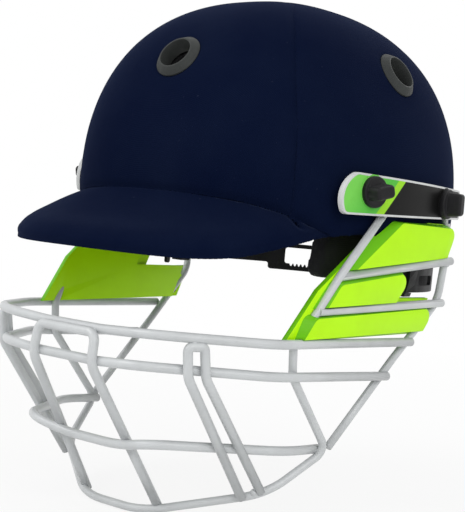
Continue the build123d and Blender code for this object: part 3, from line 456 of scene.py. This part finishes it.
def cover_cloth_material(settings):
    """Matt navy cloth with a fine weave, faint fading and a little lint."""
    material, tree, shader = blank_material("navy_cover_cloth")
    tint = ramp(tree, grain(tree, scale=16.0, detail=5.0),
                [(0.35, tuple(settings.colour)), (0.75, tuple(settings.worn_colour))])
    lint = ramp(tree, grain(tree, scale=420.0, detail=2.0, roughness=0.5),
                [(0.74, (0.0, 0.0, 0.0)), (0.80, (0.012, 0.014, 0.020))])
    mixed = tree.nodes.new("ShaderNodeMix")
    mixed.data_type = "RGBA"
    mixed.blend_type = "ADD"
    mixed.inputs[0].default_value = 1.0
    tree.links.new(tint, mixed.inputs["A"])
    tree.links.new(lint, mixed.inputs["B"])
    tree.links.new(mixed.outputs["Result"], shader.inputs["Base Color"])
    shader.inputs["Roughness"].default_value = 0.92
    shader.inputs["Specular IOR Level"].default_value = 0.02
    shader.inputs["Sheen Weight"].default_value = 0.05
    shader.inputs["Sheen Roughness"].default_value = 0.38
    shader.inputs["Sheen Tint"].default_value = (0.30, 0.42, 0.85, 1.0)
    height = height_sum(tree, [(ribs(tree, "X", settings.weave_pitch), 0.5),
                               (ribs(tree, "Y", settings.weave_pitch), 0.5),
                               (grain(tree, scale=900.0, detail=2.0), 0.5)])
    bumped(tree, shader, height, strength=0.35, distance=0.0002)
    return material


def pad_cloth_material(settings):
    """Black wicking cloth of the comfort pads, with a coarse knit."""
    material, tree, shader = blank_material("black_pad_cloth")
    dark = tuple(settings.colour)
    light = tuple(value * 1.9 for value in dark)
    tint = ramp(tree, grain(tree, scale=60.0, detail=4.0), [(0.35, dark), (0.7, light)])
    tree.links.new(tint, shader.inputs["Base Color"])
    shader.inputs["Roughness"].default_value = 0.95
    shader.inputs["Specular IOR Level"].default_value = 0.06
    shader.inputs["Sheen Weight"].default_value = 0.10
    shader.inputs["Sheen Roughness"].default_value = 0.45
    height = height_sum(tree, [(ribs(tree, "X", KNIT_PITCH, "Object"), 0.4),
                               (ribs(tree, "Z", KNIT_PITCH, "Object"), 0.4),
                               (grain(tree, scale=700.0, detail=2.0), 0.6)])
    bumped(tree, shader, height, strength=0.5, distance=0.0003)
    return material


def powder_coat_material(settings):
    """Light grey powder coat with a fine orange peel."""
    material, tree, shader = blank_material("grey_powder_coat")
    base = tuple(settings.coat_colour)
    dull = tuple(value * 0.88 for value in base)
    tint = ramp(tree, grain(tree, scale=45.0, detail=4.0), [(0.30, dull), (0.62, base)])
    tree.links.new(tint, shader.inputs["Base Color"])
    rough = ramp(tree, grain(tree, scale=90.0, detail=3.0), [(0.3, (0.30,) * 3), (0.7, (0.44,) * 3)])
    tree.links.new(rough, shader.inputs["Roughness"])
    shader.inputs["Coat Weight"].default_value = 0.25
    shader.inputs["Coat Roughness"].default_value = 0.22
    bumped(tree, shader, grain(tree, scale=650.0, detail=2.0), strength=0.16, distance=0.0003)
    return material


def moulded_material(name, colour, roughness, spread, texture):
    """Moulded plastic with a fine spark-eroded grain and slight scuffing."""
    material, tree, shader = blank_material(name)
    base = tuple(colour)
    light = tuple(min(1.0, value * spread) for value in base)
    tint = ramp(tree, grain(tree, scale=70.0, detail=5.0), [(0.4, base), (0.8, light)])
    tree.links.new(tint, shader.inputs["Base Color"])
    rough = ramp(tree, grain(tree, scale=120.0, detail=3.0),
                 [(0.3, (roughness - 0.06,) * 3), (0.7, (roughness + 0.08,) * 3)])
    tree.links.new(rough, shader.inputs["Roughness"])
    shader.inputs["Specular IOR Level"].default_value = 0.14
    bumped(tree, shader, grain(tree, scale=1400.0, detail=2.0), strength=texture, distance=0.0002)
    return material


def lime_material(name, colour):
    """Bright moulded lime plastic with a smooth, slightly rippled skin."""
    material, tree, shader = blank_material(name)
    base = tuple(colour)
    deep = tuple(value * 0.94 for value in base)
    tint = ramp(tree, grain(tree, scale=30.0, detail=4.0), [(0.3, deep), (0.6, base)])
    tree.links.new(tint, shader.inputs["Base Color"])
    shader.inputs["Roughness"].default_value = 0.36
    shader.inputs["Specular IOR Level"].default_value = 0.16
    height = height_sum(tree, [(grain(tree, scale=260.0, detail=3.0), 1.0),
                               (grain(tree, scale=40.0, detail=2.0), 2.0)])
    bumped(tree, shader, height, strength=0.12, distance=0.0004)
    return material


def strip_print_material(settings):
    """Printed face of a side strip: green at the front, a slanted lime band, black behind."""
    material, tree, shader = blank_material("strip_print")
    place = tree.nodes.new("ShaderNodeTexCoord")
    parts = tree.nodes.new("ShaderNodeSeparateXYZ")
    tree.links.new(place.outputs["Object"], parts.inputs["Vector"])
    slant = height_sum(tree, [(parts.outputs["Y"], 1.0), (parts.outputs["Z"], PRINT_LEAN)])
    share = tree.nodes.new("ShaderNodeMapRange")
    share.inputs["From Min"].default_value = PRINT_START
    share.inputs["From Max"].default_value = PRINT_END
    tree.links.new(slant, share.inputs["Value"])
    light, green, lime = (tuple(colour) for colour in
                          (settings.strip_light_green, settings.strip_green, settings.strip_lime))
    print_colour = ramp(tree, share.outputs["Result"],
                        [(0.0, light), (0.25, light), (0.60, green), (0.715, green), (0.722, lime),
                         (0.823, lime), (0.831, PRINT_BLACK)])
    tree.links.new(print_colour, shader.inputs["Base Color"])
    rough = ramp(tree, grain(tree, scale=150.0, detail=3.0), [(0.3, (0.26,) * 3), (0.7, (0.36,) * 3)])
    tree.links.new(rough, shader.inputs["Roughness"])
    shader.inputs["Specular IOR Level"].default_value = 0.12
    bumped(tree, shader, grain(tree, scale=500.0, detail=2.0), strength=0.05, distance=0.0002)
    return material


def foam_material():
    """Dark expanded foam of the impact liner, with its bead pattern."""
    material, tree, shader = blank_material("bead_foam")
    place = tree.nodes.new("ShaderNodeTexCoord")
    beads = tree.nodes.new("ShaderNodeTexVoronoi")
    beads.inputs["Scale"].default_value = 330.0
    tree.links.new(place.outputs["Object"], beads.inputs["Vector"])
    tint = ramp(tree, beads.outputs["Distance"],
                [(0.1, (0.050, 0.050, 0.053)), (0.7, (0.020, 0.020, 0.022))])
    tree.links.new(tint, shader.inputs["Base Color"])
    shader.inputs["Roughness"].default_value = 0.85
    shader.inputs["Specular IOR Level"].default_value = 0.08
    bumped(tree, shader, beads.outputs["Distance"], strength=0.4, distance=0.0004)
    return material


def metal_material(name, colour, roughness):
    """Small turned metal piece with fine marks."""
    material, tree, shader = blank_material(name)
    base = tuple(colour)
    dull = tuple(value * 0.8 for value in base)
    tint = ramp(tree, grain(tree, scale=200.0, detail=3.0), [(0.3, dull), (0.7, base)])
    tree.links.new(tint, shader.inputs["Base Color"])
    shader.inputs["Metallic"].default_value = 1.0
    shader.inputs["Roughness"].default_value = roughness
    bumped(tree, shader, grain(tree, scale=900.0, detail=2.0), strength=0.1, distance=0.0002)
    return material


# Pieces

class HELMET_OT_cover(bpy.types.Operator):
    """Make the three cloth panels of the cover, with the cloth drawn in along their seams"""

    bl_idname = "helmet.cover"
    bl_label = "Cloth Cover"

    def execute(self, context):
        settings = context.scene.helmet_cloth
        material = cover_cloth_material(settings)
        for node, area, flat in PANELS:
            bm = merged_copy(node)
            refine(bm, CLOTH_EDGE, CLOTH_ROUNDS)
            on_dome = node != "cover_peak"
            refine_near(bm, border_tree(bm, outside_vertices(bm)), HEM_REACH, HEM_EDGE, HEM_ROUNDS)
            outer = outside_vertices(bm)
            borders = border_tree(bm, outer)
            if on_dome:
                for vertex in outer:
                    vertex.co /= dome_share(vertex.co)
            else:
                inner = [vertex for vertex in outer if borders.find(vertex.co)[2] > PEAK_HEM]
                for _ in range(PEAK_ROUNDS):
                    bmesh.ops.smooth_vert(bm, verts=inner, factor=0.5, use_axis_x=True,
                                          use_axis_y=True, use_axis_z=True)
            draw_in(outer, borders, settings.seam_depth, settings.seam_width, on_dome)
            keep_off_shell(outer, settings.least_lift)
            bm.normal_update()
            flatten_uv(bm)
            piece = keep_piece(bm, node + "_cloth", "helmet", material, [node])
        return {"FINISHED"}


def outside_vertices(bm):
    """Vertices of a cover panel's outer face, away from the shell."""
    shell = BVHTree.FromObject(nodes["shell"], bpy.context.evaluated_depsgraph_get())
    return [vertex for vertex in bm.verts if shell.find_nearest(vertex.co)[3] > OUTER_LIFT]


def border_tree(bm, outer):
    """Search tree of the points where a panel's outer face ends."""
    chosen = set(outer)
    borders = {vertex for edge in bm.edges if len(edge.link_faces) == 2
               and edge.calc_face_angle() > HEM_FOLD
               and edge.verts[0] in chosen and edge.verts[1] in chosen
               for vertex in edge.verts}
    tree = kdtree.KDTree(len(borders))
    for index, vertex in enumerate(borders):
        tree.insert(vertex.co, index)
    tree.balance()
    return tree


def refine_near(bm, tree, reach, longest, rounds):
    """Splits the edges near a panel's borders, so that the cloth can bend there."""
    for _ in range(rounds):
        edges = [edge for edge in bm.edges if edge.calc_length() > longest
                 and min(tree.find(vertex.co)[2] for vertex in edge.verts) < reach]
        bmesh.ops.subdivide_edges(bm, edges=edges, cuts=1, use_grid_fill=True)
        bmesh.ops.triangulate(bm, faces=bm.faces[:])


def dome_outward(point):
    """Direction straight out of the dome's surface at a point."""
    here = dome_share(point)
    slope = [dome_share(point + Vector(axis) * SLOPE_STEP) - here
             for axis in ((1, 0, 0), (0, 1, 0), (0, 0, 1))]
    return Vector(slope).normalized()


def draw_in(outer, borders, depth, width, on_dome):
    """Sinks the outer face towards its own edges and gives it the slight waviness of cloth."""
    moves = []
    for vertex in outer:
        away = borders.find(vertex.co)[2]
        dip = math.exp(-(away / width) ** 2)
        wave = sum(noise.noise(vertex.co * pitch) * height for pitch, height in CLOTH_WAVES)
        outward = dome_outward(vertex.co) if on_dome else vertex.normal.copy()
        moves.append((vertex, outward * ((wave + CLOTH_STAND) * (1 - dip) - depth * dip)))
    for vertex, move in moves:
        vertex.co += move


def keep_off_shell(outer, least):
    """Lifts the outer face where it would come closer to the shell than the given height."""
    shell = BVHTree.FromObject(nodes["shell"], bpy.context.evaluated_depsgraph_get())
    for vertex in outer:
        point, normal, _, _ = shell.find_nearest(vertex.co)
        lift = (vertex.co - point).dot(normal)
        if lift < least:
            vertex.co += normal * (least - lift)


def flatten_uv(bm):
    """Equal-area flattening of the cover from the crown, in metres, for the weave."""
    layer = bm.loops.layers.uv.new("cloth")
    for face in bm.faces:
        for loop in face.loops:
            point = loop.vert.co
            level = math.hypot(point.x, point.y)
            lean = math.atan2(level, point.z)
            reach = WEAVE_SPHERE * math.sin(lean / 2) / max(level, LEAST_LEVEL)
            loop[layer].uv = (point.x * reach, point.y * reach)


class HELMET_OT_cushions(bpy.types.Operator):
    """Make the comfort pads: softened cushions that swell towards the head"""

    bl_idname = "helmet.cushions"
    bl_label = "Comfort Pads"

    def execute(self, context):
        settings = context.scene.helmet_cushions
        material = pad_cloth_material(settings)
        for node, fill, outward in CUSHIONS:
            piece = cushion(node, Vector(outward), settings, material)
        return {"FINISHED"}


def cushion(node, outward, settings, material):
    """Cushion in place of a pad's solid: remeshed, softened and swelled towards the head."""
    bm = merged_copy(node)
    mesh = bpy.data.meshes.new("pad_form")
    bm.to_mesh(mesh)
    bm.free()
    form = bpy.data.objects.new("pad_form", mesh)
    bpy.context.scene.collection.objects.link(form)
    remesh = form.modifiers.new("even", "REMESH")
    remesh.mode = "VOXEL"
    remesh.voxel_size = settings.voxel
    soften = form.modifiers.new("soften", "SMOOTH")
    soften.factor = SOFTEN_SHARE
    soften.iterations = SOFTEN_ROUNDS
    even = form.evaluated_get(bpy.context.evaluated_depsgraph_get())
    bm = bmesh.new()
    bm.from_mesh(even.to_mesh())
    even.to_mesh_clear()
    bpy.data.objects.remove(form)
    low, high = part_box(node)
    middle = (low + high) / 2
    size = high - low
    bm.normal_update()
    moves = []
    for vertex in bm.verts:
        inward = max(0.0, -vertex.normal.dot(outward))
        share = [1 - min(1.0, (2 * abs(vertex.co[i] - middle[i]) / size[i]) ** 2)
                 for i in range(3) if abs(outward[i]) < 0.5]
        swell = settings.crown * inward * math.sqrt(max(0.0, share[0] * share[1]))
        pucker = PUCKER_HEIGHT * noise.noise(vertex.co * PUCKER_PITCH)
        moves.append((vertex, vertex.normal * (swell + pucker)))
    for vertex, move in moves:
        vertex.co += move
    return keep_piece(bm, node + "_cushion", body_of_node(node), material, [node])


def body_of_node(node):
    """Body that a CAD node belongs to."""
    bodies = frame["record"]["behaviour"]["bodies"]
    return next(body for body, members in bodies.items() if node in members)


class HELMET_OT_guard_wire(bpy.types.Operator):
    """Coat the guard's wires and put a weld bead where two bars touch"""

    bl_idname = "helmet.guard_wire"
    bl_label = "Guard Wire"

    def execute(self, context):
        settings = context.scene.helmet_guard
        material = powder_coat_material(settings)
        for node in WIRE_NODES:
            smooth_wire(node, material)
        weld_beads(settings.bead_radius, material)
        return {"FINISHED"}


def smooth_wire(node, material):
    """Merged copy of a wire, shaded smooth, in place of its node."""
    bm = merged_copy(node)
    piece = keep_piece(bm, node + "_wire", "face_guard", material, [node])
    piece.data.set_sharp_from_angle(angle=WIRE_SHARP)


def weld_beads(radius, material):
    """Round beads where bars touch, found from the bars' own surfaces."""
    trees = {}
    for node in WIRE_NODES:
        bm = merged_copy(node)
        trees[node] = (BVHTree.FromBMesh(bm), [vertex.co.copy() for vertex in bm.verts])
        bm.free()
    beads = bmesh.new()
    for i, first in enumerate(WIRE_NODES):
        for second in WIRE_NODES[i + 1:]:
            touching = touch_points(trees[first][1], trees[second][0])
            for group in grouped(touching, WELD_REACH):
                centre = sum(group, Vector()) / len(group)
                spread = max((point - centre).length for point in group)
                size = min(radius, LEAST_BEAD + spread * BEAD_GROWTH)
                bmesh.ops.create_icosphere(beads, subdivisions=3, radius=size,
                                           matrix=Matrix.Translation(centre))
    keep_piece(beads, "guard_weld_beads", "face_guard", material, [])


def touch_points(points, tree):
    """Points of one wire that lie on another wire's surface."""
    found = []
    for point in points:
        distance = tree.find_nearest(point, TOUCH_SEARCH)[3]
        if distance is not None and distance < TOUCH_GAP:
            found.append(point)
    return found


def grouped(points, reach):
    """Points split into groups that lie close together."""
    groups = []
    for point in points:
        for group in groups:
            if (group[0] - point).length < reach:
                group.append(point)
                break
        else:
            groups.append([point])
    return groups


class HELMET_OT_ear_guards(bpy.types.Operator):
    """Make the lime ear guards with rounded panel edges and a darker green painted on their slopes as
    shade
    """

    bl_idname = "helmet.ear_guards"
    bl_label = "Ear Guards"

    def execute(self, context):
        settings = context.scene.helmet_guard
        face = lime_material("lime_face", settings.lime_colour)
        # The slope material is the same lime in a darker green, painted shade for the slopes that face
        # away from the light
        slope = lime_material("lime_slope", settings.slope_shade_colour)
        for side in SIDES:
            node = "ear_guard_" + side
            piece = rounded_copy(node, settings.edge_round, "face_guard", [face, slope])
            # Faces that don't face straight out take the darker slope green, which is painted shade
            for polygon in piece.data.polygons:
                polygon.material_index = 0 if abs(polygon.normal.x) > EAR_FACE_LEAN else 1
        return {"FINISHED"}


class HELMET_OT_side_strips(bpy.types.Operator):
    """Finish the side strips: white border and a plain printed face"""

    bl_idname = "helmet.side_strips"
    bl_label = "Side Strips"

    def execute(self, context):
        settings = context.scene.helmet_trim
        border = moulded_material("strip_white", (0.62, 0.63, 0.63), roughness=0.34, spread=1.1,
                                  texture=0.05)
        face = strip_print_material(settings)
        for side in SIDES:
            dress("strip_label_" + side, face)
            piece = rounded_copy("side_strip_" + side, STRIP_ROUND, "helmet",
                                 [border, face])
            for polygon in piece.data.polygons:
                polygon.material_index = strip_zone(polygon)
        return {"FINISHED"}


def strip_zone(polygon):
    """0 on the raised border and the edges of a side strip, 1 on its field and round the screws."""
    point = polygon.center
    out = Vector((abs(point.x) - STRIP_ARC_CENTRE[0], point.y - STRIP_ARC_CENTRE[1], 0))
    if any(math.hypot(point.y - y, point.z - z) < SCREW_RING for y, z in STRIP_SCREWS):
        return 1
    facing = Vector((abs(polygon.normal.x) * (1 if point.x * polygon.normal.x > 0 else -1),
                     polygon.normal.y, 0)).dot(out.normalized())
    return 1 if facing > STRIP_FACING and out.length < STRIP_ARC_FIELD else 0


class HELMET_OT_fittings(bpy.types.Operator):
    """Finish the grommets, wing screws and the nape adjuster"""

    bl_idname = "helmet.fittings"
    bl_label = "Fittings"

    def execute(self, context):
        settings = context.scene.helmet_trim
        grey = moulded_material("grommet_grey", settings.grommet_grey, roughness=0.52, spread=1.5,
                                texture=0.3)
        black = moulded_material("moulded_black", settings.black, roughness=0.46, spread=1.7,
                                 texture=0.3)
        for node in GROMMETS:
            rounded_copy(node, GROMMET_ROUND, "helmet", grey)
        for node in WING_SCREWS:
            rounded_copy(node, SCREW_ROUND, node, black)
        for node in BLACK_NODES:
            dress(node, black)
        dress("strip_nuts", metal_material("nut_brass", (0.62, 0.46, 0.20), roughness=0.35))
        dress("hanger_rivets", metal_material("rivet_steel", (0.55, 0.55, 0.57), roughness=0.38))
        return {"FINISHED"}


class HELMET_OT_shell(bpy.types.Operator):
    """Finish the moulded shell and the foam liner"""

    bl_idname = "helmet.shell"
    bl_label = "Shell and Liner"

    def execute(self, context):
        dress("shell", moulded_material("shell_black", (0.014, 0.014, 0.016), roughness=0.5,
                                        spread=1.5, texture=0.25))
        dress("impact_liner", foam_material())
        return {"FINISHED"}


class HELMET_OT_stage(bpy.types.Operator):
    """Set up the pale floor, the soft lamps and the camera"""

    bl_idname = "helmet.stage"
    bl_label = "Stage"

    def execute(self, context):
        settings = context.scene.helmet_stage
        make_floor(cad_box[0].z - settings.floor_gap)
        make_world(settings.surround)
        for name, place, size, power in LAMPS:
            soft_lamp(name, place, size, getattr(settings, power))
        make_camera()
        context.scene.view_settings.view_transform = "Standard"
        return {"FINISHED"}


def white_for_camera(tree):
    """Share that is 1 for camera, glossy and transmitted rays and 0 for others."""
    path = tree.nodes.new("ShaderNodeLightPath")
    seen = None
    for name in ("Is Camera Ray", "Is Glossy Ray", "Is Transmission Ray"):
        if seen is None:
            seen = path.outputs[name]
            continue
        either = tree.nodes.new("ShaderNodeMath")
        either.operation = "MAXIMUM"
        tree.links.new(seen, either.inputs[0])
        tree.links.new(path.outputs[name], either.inputs[1])
        seen = either.outputs[0]
    return seen


def make_floor(height):
    """Wide pale floor that keeps a faint shadow and looks white to the camera."""
    bm = bmesh.new()
    bmesh.ops.create_circle(bm, cap_ends=True, segments=96, radius=FLOOR_RADIUS,
                            matrix=Matrix.Translation((0, 0, height)))
    mesh = bpy.data.meshes.new("floor")
    bm.to_mesh(mesh)
    bm.free()
    floor = bpy.data.objects.new("floor", mesh)
    bpy.context.scene.collection.objects.link(floor)
    material, tree, shader = blank_material("pale_floor")
    shader.inputs["Base Color"].default_value = FLOOR_COLOUR
    shader.inputs["Roughness"].default_value = 0.9
    shader.inputs["Specular IOR Level"].default_value = 0.0
    glow = tree.nodes.new("ShaderNodeEmission")
    glow.inputs["Color"].default_value = WHITE
    glow.inputs["Strength"].default_value = 1.0
    mix = tree.nodes.new("ShaderNodeMixShader")
    output = next(node for node in tree.nodes if node.type == "OUTPUT_MATERIAL")
    place = tree.nodes.new("ShaderNodeTexCoord")
    reach = tree.nodes.new("ShaderNodeVectorMath")
    reach.operation = "LENGTH"
    tree.links.new(place.outputs["Object"], reach.inputs[0])
    fade = tree.nodes.new("ShaderNodeMapRange")
    fade.inputs["From Min"].default_value, fade.inputs["To Min"].default_value = FADE_FROM
    fade.inputs["From Max"].default_value, fade.inputs["To Max"].default_value = FADE_TO
    tree.links.new(reach.outputs["Value"], fade.inputs["Value"])
    share = tree.nodes.new("ShaderNodeMath")
    share.operation = "MULTIPLY"
    tree.links.new(white_for_camera(tree), share.inputs[0])
    tree.links.new(fade.outputs["Result"], share.inputs[1])
    tree.links.new(share.outputs[0], mix.inputs[0])
    tree.links.new(shader.outputs["BSDF"], mix.inputs[1])
    tree.links.new(glow.outputs["Emission"], mix.inputs[2])
    tree.links.new(mix.outputs["Shader"], output.inputs["Surface"])
    mesh.materials.append(material)


def make_world(strength):
    """Even light from all round, white to the camera."""
    world = bpy.data.worlds.new("studio")
    bpy.context.scene.world = world
    world.use_nodes = True
    tree = world.node_tree
    tree.nodes.clear()
    soft = tree.nodes.new("ShaderNodeBackground")
    soft.inputs["Color"].default_value = WHITE
    soft.inputs["Strength"].default_value = strength
    white = tree.nodes.new("ShaderNodeBackground")
    white.inputs["Color"].default_value = WHITE
    white.inputs["Strength"].default_value = 1.0
    mix = tree.nodes.new("ShaderNodeMixShader")
    output = tree.nodes.new("ShaderNodeOutputWorld")
    tree.links.new(white_for_camera(tree), mix.inputs[0])
    tree.links.new(soft.outputs["Background"], mix.inputs[1])
    tree.links.new(white.outputs["Background"], mix.inputs[2])
    tree.links.new(mix.outputs["Shader"], output.inputs["Surface"])


def soft_lamp(name, place, size, power):
    """Square area lamp that points at the helmet."""
    data = bpy.data.lights.new(name, "AREA")
    data.shape = "SQUARE"
    data.size = size
    data.energy = power
    lamp = bpy.data.objects.new(name, data)
    lamp.location = place
    lamp.rotation_euler = (Vector(LAMP_AIM) - Vector(place)).to_track_quat("-Z", "Y").to_euler()
    bpy.context.scene.collection.objects.link(lamp)


def make_camera():
    """Camera at the photograph's place, with its long lens."""
    data = bpy.data.cameras.new("camera")
    data.sensor_width = SENSOR
    data.sensor_fit = "AUTO"
    data.lens = LENS
    data.shift_x, data.shift_y = LENS_SHIFT
    data.clip_start, data.clip_end = CLIP
    camera = bpy.data.objects.new("camera", data)
    across = Vector(CAMERA_ACROSS).normalized()
    back = Vector(CAMERA_BACK).normalized()
    up = back.cross(across).normalized()
    across = up.cross(back).normalized()
    turn = Matrix((across, up, back)).transposed()
    camera.matrix_world = Matrix.Translation(CAMERA_PLACE) @ turn.to_4x4()
    bpy.context.scene.collection.objects.link(camera)
    bpy.context.scene.camera = camera


class HELMET_PT_panel(bpy.types.Panel):
    """Lists the helmet's sizes, colours and pieces."""

    bl_label = "Cricket Helmet"
    bl_idname = "HELMET_PT_panel"
    bl_space_type = "VIEW_3D"
    bl_region_type = "UI"
    bl_category = "Helmet"

    def draw(self, context):
        layout = self.layout
        for settings in (context.scene.helmet_cloth, context.scene.helmet_cushions,
                         context.scene.helmet_guard, context.scene.helmet_trim,
                         context.scene.helmet_stage):
            for name in settings.__annotations__:
                layout.prop(settings, name)
        for operator in OPERATORS:
            layout.operator(operator.bl_idname)


SETTINGS = {
    "helmet_cloth": ClothSettings,
    "helmet_cushions": CushionSettings,
    "helmet_guard": GuardSettings,
    "helmet_trim": TrimSettings,
    "helmet_stage": StageSettings,
}
OPERATORS = (HELMET_OT_shell, HELMET_OT_cover, HELMET_OT_cushions, HELMET_OT_guard_wire,
             HELMET_OT_ear_guards, HELMET_OT_side_strips, HELMET_OT_fittings, HELMET_OT_stage)


def register():
    """Registers the settings, operators and panel."""
    for name, settings in SETTINGS.items():
        bpy.utils.register_class(settings)
        setattr(bpy.types.Scene, name, bpy.props.PointerProperty(type=settings))
    for operator in OPERATORS:
        bpy.utils.register_class(operator)
    bpy.utils.register_class(HELMET_PT_panel)


def unregister():
    """Takes the panel, operators and settings out again."""
    bpy.utils.unregister_class(HELMET_PT_panel)
    for operator in reversed(OPERATORS):
        bpy.utils.unregister_class(operator)
    for name, settings in SETTINGS.items():
        delattr(bpy.types.Scene, name)
        bpy.utils.unregister_class(settings)


def main():
    register()
    bpy.ops.helmet.shell()
    bpy.ops.helmet.cover()
    bpy.ops.helmet.cushions()
    bpy.ops.helmet.guard_wire()
    bpy.ops.helmet.ear_guards()
    bpy.ops.helmet.side_strips()
    bpy.ops.helmet.fittings()
    bpy.ops.helmet.stage()


if __name__ == "__main__":
    main()
